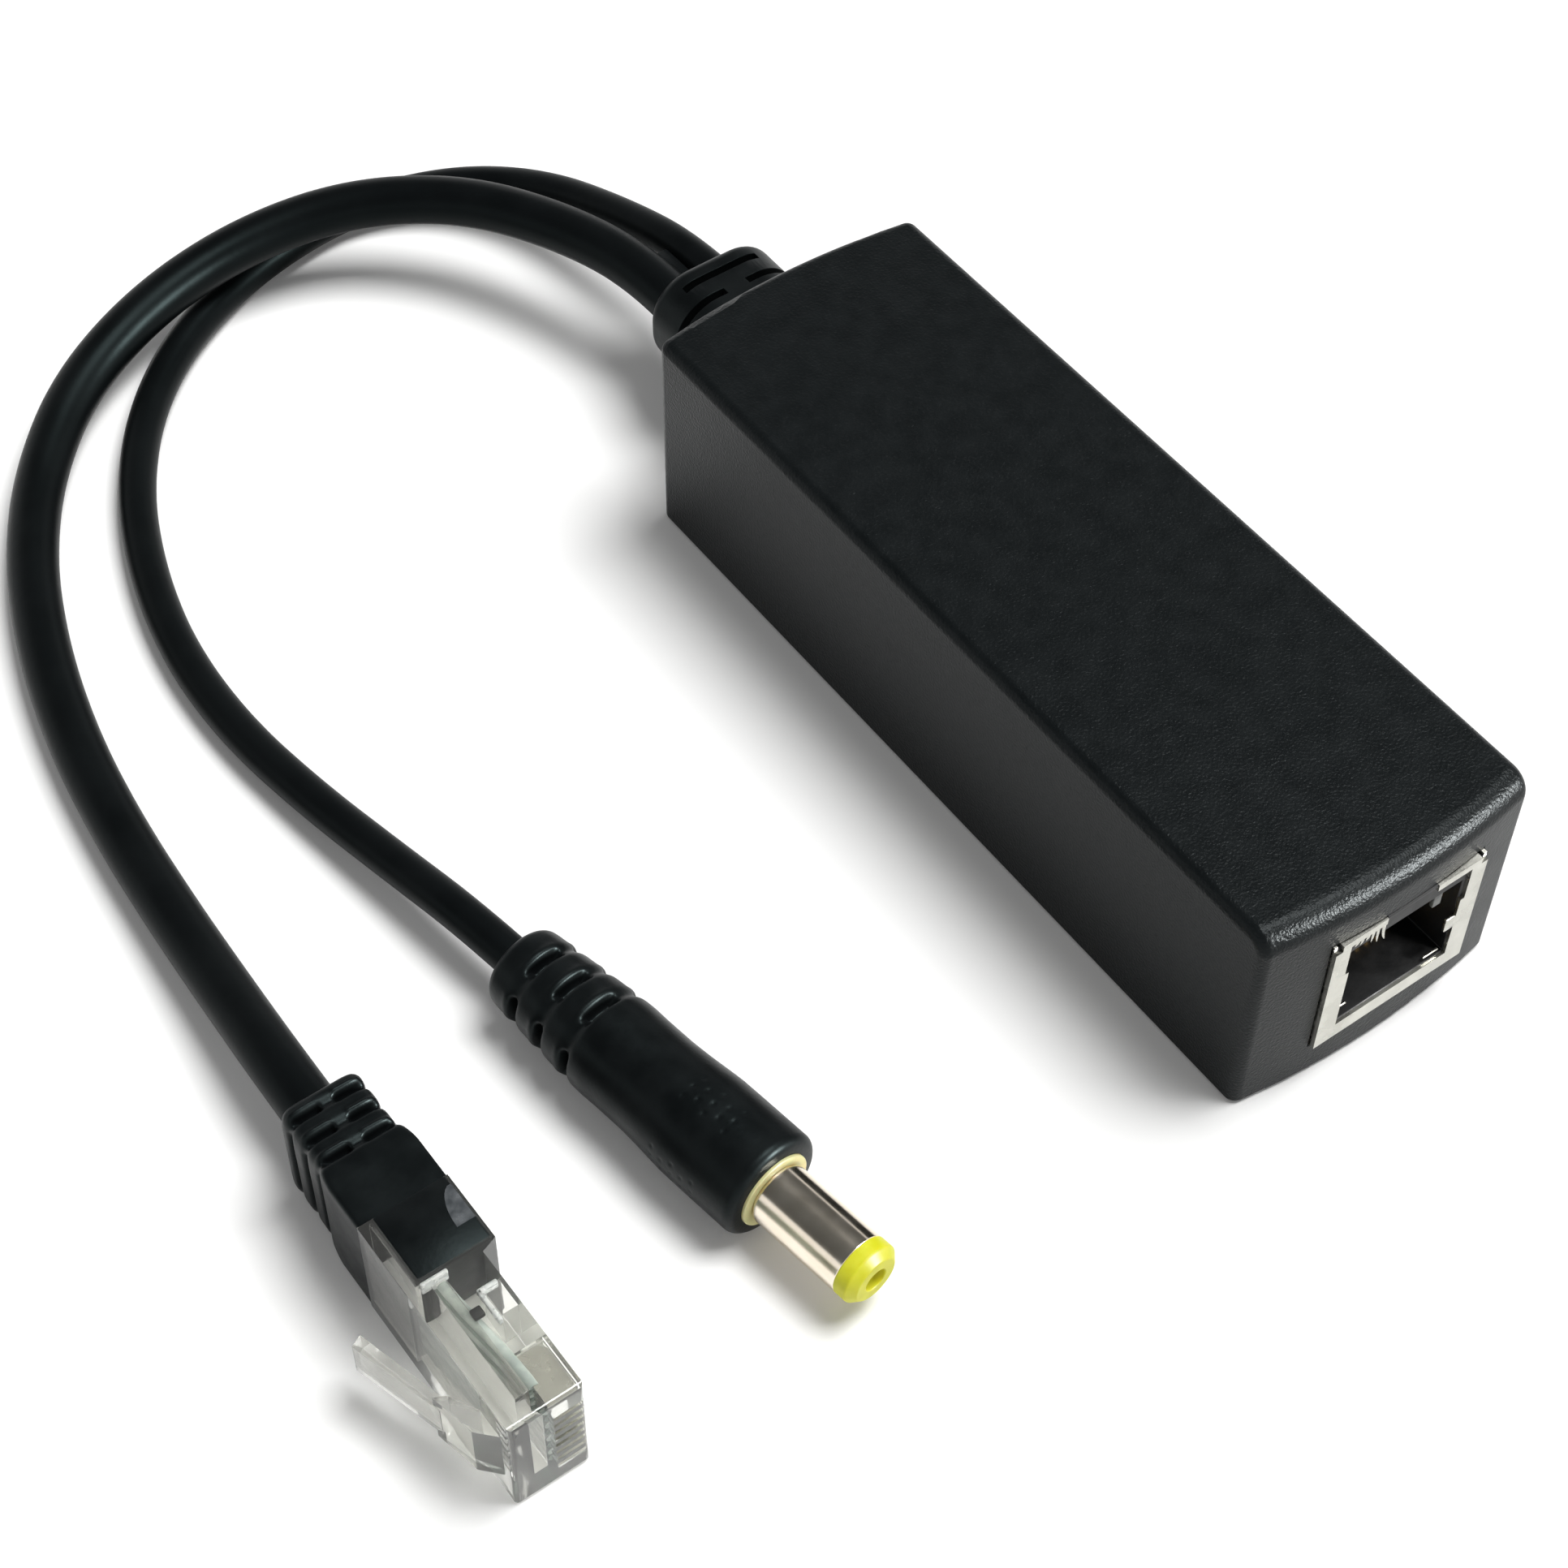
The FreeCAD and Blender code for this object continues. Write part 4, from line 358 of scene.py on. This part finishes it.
# The seen pieces again, with rounded edges: node, name, slot, edge radius in millimetres
# (0 keeps the stamped sheet sharp), steps
seenPieces = [
    ("housing_shell", "housingSkin", "moulded_housing", 0.12, 2),
    ("bottom_cover", "coverPlate", "moulded_housing", 0.15, 2),
    ("jack_shield", "shieldSheet", "jack_shield", 0, 1),
    ("jack_insert", "insertBlock", "jack_insert", 0.08, 1),
    ("jack_contacts", "sprungContacts", "gold_contacts", 0.05, 1),
    ("cable_grommet", "glandBody", "soft_moulding", 0.28, 3),
    ("plug_body", "clearPlug", "clear_plug", 0.12, 2),
    ("plug_contacts", "goldBlades", "gold_contacts", 0.04, 1),
    ("dc_collar", "yellowCollar", "pale_insulator", 0.1, 2),
    ("dc_barrel", "barrelTube", "nickel_barrel", 0.06, 2),
    ("dc_tip", "yellowTip", "yellow_insulator", 0.08, 2),
]


sharpAngle = math.radians(32)


# A merged copy of a carried-over piece: flat faces joined, edges sharper than 32 degrees
# rounded, curved faces shaded smooth
def roundedCopy(node, name, slot, edge, steps):
    mesh = nodes[node].data.copy()
    mesh.name = name
    work = bmesh.new()
    work.from_mesh(mesh)
    bmesh.ops.remove_doubles(work, verts=work.verts, dist=0.002 * mm)
    bmesh.ops.dissolve_limit(work, angle_limit=math.radians(0.4), verts=work.verts, edges=work.edges)
    work.to_mesh(mesh)
    work.free()
    mesh.materials.clear()
    mesh.materials.append(finishes[pieces[node]])
    mesh.shade_smooth()
    mesh.set_sharp_from_angle(angle=sharpAngle)
    piece = bpy.data.objects.new(name, mesh)
    bpy.context.collection.objects.link(piece)
    if edge:
        soften = piece.modifiers.new("softEdges", "BEVEL")
        soften.width = edge * mm
        soften.segments = steps
        soften.limit_method = "ANGLE"
        soften.angle_limit = sharpAngle
    even = piece.modifiers.new("evenShading", "WEIGHTED_NORMAL")
    even.keep_sharp = True
    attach(piece, "root")
    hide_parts(node)
    return piece


copies = {row[1]: roundedCopy(*row) for row in seenPieces}

# The stamped frame's top strips are narrower where the lips fold back: their lower edge
# goes up from the frame's opening, in millimetres
stripSizes = {"from": 15.3, "to": 16.75, "face": -41.1}
sheet = copies["shieldSheet"].data
corners = np.empty(len(sheet.vertices) * 3)
sheet.vertices.foreach_get("co", corners)
corners = corners.reshape(-1, 3)
strip = (np.abs(corners[:, 2] / mm - stripSizes["from"]) < 0.02) & (corners[:, 1] / mm < stripSizes["face"])
corners[strip, 2] = stripSizes["to"] * mm
sheet.vertices.foreach_set("co", corners.ravel())
sheet.update()
print("rounded copies:", len(copies))


# A grid of points (rows x columns x 3, in millimetres) as a mesh: the last column joins the
# first, closed joins the last row to the first, otherwise a face fills each end
def gridPiece(name, points, finish, node=None, closed=False):
    rows, columns = points.shape[:2]
    index = np.arange(rows * columns).reshape(rows, columns)
    index = np.concatenate([index, index[:, :1]], axis=1)
    if closed:
        index = np.concatenate([index, index[:1]], axis=0)
    quads = np.stack([index[:-1, :-1], index[1:, :-1], index[1:, 1:], index[:-1, 1:]], axis=-1)
    faces = quads.reshape(-1, 4).tolist()
    if not closed:
        faces += [index[0, :-1].tolist(), index[-1, :-1][::-1].tolist()]
    mesh = bpy.data.meshes.new(name)
    mesh.from_pydata((points.reshape(-1, 3) * mm).tolist(), [], faces)
    work = bmesh.new()
    work.from_mesh(mesh)
    bmesh.ops.recalc_face_normals(work, faces=work.faces)
    work.to_mesh(mesh)
    work.free()
    mesh.materials.append(finishes[finish])
    mesh.shade_smooth()
    mesh.set_sharp_from_angle(angle=math.radians(40))
    piece = bpy.data.objects.new(name, mesh)
    bpy.context.collection.objects.link(piece)
    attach(piece, "root")
    if node:
        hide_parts(node)
    return piece


def window(value, half, softness):  # near 1 within half of zero, falling to 0 over the softness
    return 0.5 * (np.tanh((value + half) / softness) - np.tanh((value - half) / softness))


# Barrel plug handle: a turned profile, its radius drawn in by a shallow valley and four
# slots at each of three rows, with small grip dimples on a staggered net. In millimetres,
# measured along the plug from the cable's end.
handle = {"end": (-54.4, 2.2, 4.8), "turn": 8.3, "long": 29.6, "rows": (3.4, 6.7, 10.0),
          "profileAt": (0, 1.2, 3.4, 6.7, 10.0, 12.0, 13.5, 16.5, 18.5, 21.5, 24.0, 29.6),
          "profile": (3.6, 3.8, 3.95, 4.2, 4.42, 4.5, 4.45, 4.45, 4.55, 4.78, 4.8, 4.8),
          "valley": 0.26, "valleyWide": 0.5, "slotDeep": 1.1, "slotWide": 0.4, "slotLong": 1.7,
          "rim": 0.07, "faceRound": 0.9, "endRound": 0.8, "bore": 3.44, "tailBore": 1.8, "boreDeep": 8.0,
          "dimpleFrom": 20.3, "dimpleTo": 25.5, "dimpleStep": 1.15, "dimpleDeep": 0.08, "dimple": 0.19,
          "steps": 250, "around": 200}


def makeHandle():
    angle = np.linspace(0, 2 * np.pi, handle["around"], endpoint=False)[None, :]
    turn = math.radians(handle["turn"])
    along = np.array([math.sin(turn), -math.cos(turn), 0])
    across = np.array([math.cos(turn), math.sin(turn), 0])
    s = np.linspace(handle["endRound"] * 0.05, handle["long"] - handle["faceRound"] * 0.05, handle["steps"])
    base = np.interp(s, handle["profileAt"], handle["profile"])
    kernel = np.hanning(13) / np.hanning(13).sum()
    base = np.convolve(np.pad(base, 6, mode="edge"), kernel, mode="valid")
    tail = np.clip((handle["endRound"] - s) / handle["endRound"], 0, 1)  # quarter rounds at both ends
    face = np.clip((s - handle["long"] + handle["faceRound"]) / handle["faceRound"], 0, 1)
    base = base - handle["endRound"] * (1 - np.sqrt(1 - tail ** 2)) \
        - handle["faceRound"] * (1 - np.sqrt(1 - face ** 2))
    radius = np.repeat(base[:, None], handle["around"], axis=1)
    side = (angle + np.pi / 4) % (np.pi / 2) - np.pi / 4  # angle from the nearest of the four sides
    arc = side * radius
    for row in handle["rows"]:
        off = (s - row)[:, None]
        radius = radius - handle["valley"] * np.exp(-(off / handle["valleyWide"]) ** 2)
        slot = window(off, handle["slotWide"], 0.1) * window(arc, handle["slotLong"], 0.22)
        rim = np.exp(-((off + 0.85) / 0.3) ** 2) * window(arc, handle["slotLong"] + 0.2, 0.3)
        radius = radius - handle["slotDeep"] * slot + handle["rim"] * rim
    step = handle["dimpleStep"]
    line = np.round(s / step)[:, None]
    shift = (line % 2) * step / 2
    net = np.hypot(s[:, None] - line * step, (arc + shift + step / 2) % step - step / 2)
    here = window(s - (handle["dimpleFrom"] + handle["dimpleTo"]) / 2,
                  (handle["dimpleTo"] - handle["dimpleFrom"]) / 2, 0.2)[:, None]
    here = here * window(arc, 1.5, 0.1) * (np.cos(angle) > -0.5)
    radius = radius - handle["dimpleDeep"] * here * np.exp(-(net / handle["dimple"]) ** 2)
    bore, tailBore, deep = handle["bore"], handle["tailBore"], handle["boreDeep"]
    inner = [(handle["long"], bore), (handle["long"] - deep, bore), (handle["long"] - deep, tailBore),
             (0, tailBore)]  # the hole through the handle closes the profile's loop
    places = np.concatenate([s, [p[0] for p in inner]])
    radii = np.concatenate([radius, np.repeat([[p[1]] for p in inner], handle["around"], axis=1)])
    points = np.array(handle["end"]) + places[:, None, None] * along \
        + (radii * np.cos(angle))[..., None] * np.array([0, 0, 1]) \
        + (radii * np.sin(angle))[..., None] * across
    return gridPiece("plugHandle", points, "overmouldedPvc", "dc_handle", closed=True)


copies["plugHandle"] = makeHandle()

# Boot over the network cable: a rectangle with rounded corners (power rising from round at
# the cable to square at the clear plug) carried along, drawn in by a valley and by slots at
# each of three rows: two columns on its narrow sides, one long groove on its wide ones.
# In millimetres, measured from the cable's end.
boot = {"end": (-75.55, -2.7, 5.84), "long": 12.4, "halfThick": (3.6, 3.95), "halfWide": (5.7, 5.84),
        "rows": (1.55, 3.75, 5.95), "power": (7, 26), "valley": 0.24, "valleyWide": 0.42,
        "slotDeep": 0.9, "slotWide": 0.27, "columnAt": 1.95, "columnHalf": 1.2, "grooveDeep": 0.75,
        "grooveHalf": 4.1, "rim": 0.09, "endRound": 0.7, "bore": 2.38, "steps": 210, "around": 300}


def makeBoot():
    angle = np.linspace(0, 2 * np.pi, boot["around"], endpoint=False)[None, :]
    cos, sin = np.cos(angle), np.sin(angle)
    s = np.linspace(boot["endRound"] * 0.05, boot["long"], boot["steps"])[:, None]
    share = np.clip((s - 5) / 3.5, 0, 1)
    share = share * share * (3 - 2 * share)
    thick = boot["halfThick"][0] + (boot["halfThick"][1] - boot["halfThick"][0]) * share
    wide = boot["halfWide"][0] + (boot["halfWide"][1] - boot["halfWide"][0]) * share
    power = boot["power"][0] + (boot["power"][1] - boot["power"][0]) * share
    radius = ((np.abs(cos) / thick) ** power + (np.abs(sin) / wide) ** power) ** (-1 / power)
    tail = np.clip((boot["endRound"] - s) / boot["endRound"], 0, 1)
    radius = radius - boot["endRound"] * (1 - np.sqrt(1 - tail ** 2))
    x, z = radius * cos, radius * sin
    onNarrow = window(np.abs(x) - boot["columnAt"], boot["columnHalf"], 0.15) * (np.abs(z) > wide * 0.8)
    onWide = window(z, boot["grooveHalf"], 0.3) * (np.abs(x) > thick * 0.8)
    for row in boot["rows"]:
        off = s - row
        slot = window(off, boot["slotWide"], 0.13)
        rim = np.exp(-((off + 0.65) / 0.2) ** 2)
        radius = radius - boot["valley"] * np.exp(-(off / boot["valleyWide"]) ** 2) \
            - slot * (boot["slotDeep"] * onNarrow + boot["grooveDeep"] * onWide) \
            + boot["rim"] * rim * onNarrow
    inner = np.full((2, boot["around"]), boot["bore"])  # the cable's hole closes the loop
    radii = np.concatenate([radius, inner])
    places = np.concatenate([s[:, 0], [boot["long"], 0]])
    points = np.stack([boot["end"][0] + radii * cos, boot["end"][1] - places[:, None] + 0 * radii,
                       boot["end"][2] + radii * sin], axis=-1)
    return gridPiece("plugBoot", points, "overmouldedPvc", "plug_boot", closed=True)


copies["plugBoot"] = makeBoot()


# A bar along one axis: a rectangle with quarter rounds at its corners, carried along, a
# little smaller at both ends. low and high are its corners, in millimetres
def bar(name, low, high, finish, axis=1, soft=0.12, points=24):
    low, high = np.array(low, float), np.array(high, float)
    middle, half = (low + high) / 2, (high - low) / 2
    others = [k for k in range(3) if k != axis]
    angle = (np.arange(points) + 0.5) / points * 2 * np.pi
    cos, sin = np.cos(angle), np.sin(angle)
    length = half[axis]
    places = np.array([-length, -length + soft * 0.3, -length + soft, length - soft, length - soft * 0.3, length])
    inset = np.array([soft, soft * 0.3, 0, 0, soft * 0.3, soft])
    rings = np.zeros((6, points, 3))
    rings[..., axis] = middle[axis] + places[:, None]
    for k, turn in zip(others, (cos, sin)):
        edge = np.sign(turn) * (half[k] - soft) + soft * turn
        rings[..., k] = middle[k] + edge[None] - np.sign(turn)[None] * inset[:, None]
    return gridPiece(name, rings, finish)


# Web of the gland's moulding that fills the gap between the cables, in millimetres
web = {"low": (-1.0, 52.0, 10.1), "high": (0.5, 59.8, 11.1)}
copies["cableWeb"] = bar("cableWeb", web["low"], web["high"], "overmouldedPvc", soft=0.3)

# Black core moulded into the clear plug's back, flush with its upper face and a hair
# larger than its hollow so that no gap of air shows round it
core = {"low": (-78.3, -21.6, 0.4), "high": (-71.72, -14.9, 11.72)}
copies["mouldedCore"] = bar("mouldedCore", core["low"], core["high"], "overmouldedPvc",
                            soft=0.3)

# Milky marks and bars that show inside the clear nose, in millimetres; the crimp face is a whitish strain bar and
# a painted reflection in one, the crimp shadow a painted shadow
noseMarks = {
    # the crimp face: a whitish strain bar, its paleness partly a painted reflection
    "crimpFaceAndReflection": ((-78.2, -22.0, 9.3), (-75.9, -21.65, 11.4), "whitenedAndReflectionPolycarbonate"),
    "crimpBar": ((-75.1, -24.9, 10.1), (-73.4, -24.45, 11.2), "whitenedAndReflectionPolycarbonate"),
    "crimpEdge": ((-75.1, -27.6, 10.1), (-74.75, -24.5, 11.2), "whitenedAndReflectionPolycarbonate"),
    # the crimp shadow: a painted shadow, a flat black block in the clear nose
    "crimpShadow": ((-76.4, -26.4, 10.2), (-75.5, -25.5, 10.9), "blackNylonAndPaintedShadow"),
}
copies["marks"] = [bar(name, low, high, finish, soft=0.1)
                   for name, (low, high, finish) in noseMarks.items()]

# Crescent of painted reflection at the core's right edge: a flat grey sliver, as wide as a quarter
# # ellipse is high, in millimetres
crescent = {"right": -71.85, "from": -15.9, "to": -19.4, "wide": 1.6, "low": 11.6, "high": 11.75,
            "steps": 16}


def makeCrescent():
    share = np.linspace(0.02, 1, crescent["steps"])
    wide = crescent["wide"] * np.sqrt(1 - (1 - share) ** 2)
    right = np.full_like(share, crescent["right"])
    x = np.stack([right - wide, right, right, right - wide], axis=1)
    along = crescent["from"] + (crescent["to"] - crescent["from"]) * share
    y = np.repeat(along[:, None], 4, axis=1)
    z = np.broadcast_to([crescent["low"], crescent["low"], crescent["high"], crescent["high"]], x.shape)
    return gridPiece("coreReflectionCrescent", np.stack([x, y, z], axis=-1), "reflectionGreyPolycarbonate")


copies["marks"].append(makeCrescent())

# Jack trim: a bent tab on the right of the frame, bright ledges at the foot of the opening,
# and the insert's grey edges under the folded lips
trim = {
    "frameTab": ((5.9, -41.5, 9.3), (7.1, -41.2, 10.9), "nickelPlatedSheet", "jack_shield"),
    "leftLedge": ((-5.05, -41.15, 7.3), (-3.9, -40.9, 7.46), "nickelPlatedSheet", "jack_shield"),
    "rightLedge": ((4.7, -41.15, 6.2), (6.4, -40.9, 6.36), "nickelPlatedSheet", "jack_shield"),
    "leftEdging": ((-5.4, -41.15, 15.55), (-3.0, -40.8, 16.3), "greyNylon", "jack_insert"),
    "rightEdging": ((3.9, -41.15, 15.5), (7.6, -40.8, 16.3), "greyNylon", "jack_insert"),
    "rightDrip": ((4.0, -41.1, 13.7), (4.9, -40.7, 15.6), "greyNylon", "jack_insert"),
    "roofEdging": ((-1.78, -41.4, 17.12), (3.58, -40.9, 17.6), "blackNylonAndPaintedShadow", "jack_insert"),
}
for name, (low, high, finish, slot) in trim.items():
    bar(name, low, high, finish, axis=2, soft=0.08)

# Teeth under the left lip, each a circle carried down a bowed line and drawn to a point:
# place across, length, lean across, thickness, in millimetres
teeth = {"rows": ((-4.7, 1.2, 0.0, 0.2), (-4.2, 1.5, 0.1, 0.17), (-3.6, 1.4, 0.1, 0.2),
                  (-3.1, 2.1, 0.35, 0.17), (-2.6, 2.6, 0.55, 0.17), (-2.0, 2.9, 0.8, 0.2)),
         "top": 16.85, "face": -41.4, "bow": 0.3}
ring = np.linspace(0, 2 * np.pi, 14, endpoint=False)
down = np.linspace(0, 1, 9)[:, None]
for k, (x, length, lean, thick) in enumerate(teeth["rows"]):
    taper = thick * (1 - 0.65 * down ** 1.6)
    spike = np.stack([x + lean * down ** 2 + taper * np.cos(ring),
                      teeth["face"] + teeth["bow"] * down ** 2 + 0.4 * taper * np.sin(ring),
                      teeth["top"] - length * down + 0 * ring], axis=-1)
    gridPiece("lipTooth%d" % (k + 1), spike, "nickelPlatedSheet")

# Eight wires in the clear plug's chamber: a circle carried along each, dipping to its blade
wires = {"count": 8, "pitch": 1.02, "dia": 0.86, "x": -76.6, "backY": -21.0, "frontY": -33.0, "first": 2.27}
copies["wires"] = []
ring = np.linspace(0, 2 * np.pi, 16, endpoint=False)
path = np.linspace(0, 1, 14)[:, None]
for k in range(wires["count"]):
    z = wires["first"] + k * wires["pitch"]
    tube = np.stack([wires["x"] + 0.9 * np.sin(np.pi * path * 0.5) ** 2 + wires["dia"] / 2 * np.cos(ring),
                     wires["backY"] + (wires["frontY"] - wires["backY"]) * path + 0 * ring,
                     z + wires["dia"] / 2 * np.sin(ring) + 0 * path], axis=-1)
    copies["wires"].append(gridPiece("plugWire%d" % (k + 1), tube,
                                     "paleInsulation" if k % 2 else "dullInsulation"))
print("added pieces made")

bpy.context.view_layer.update()
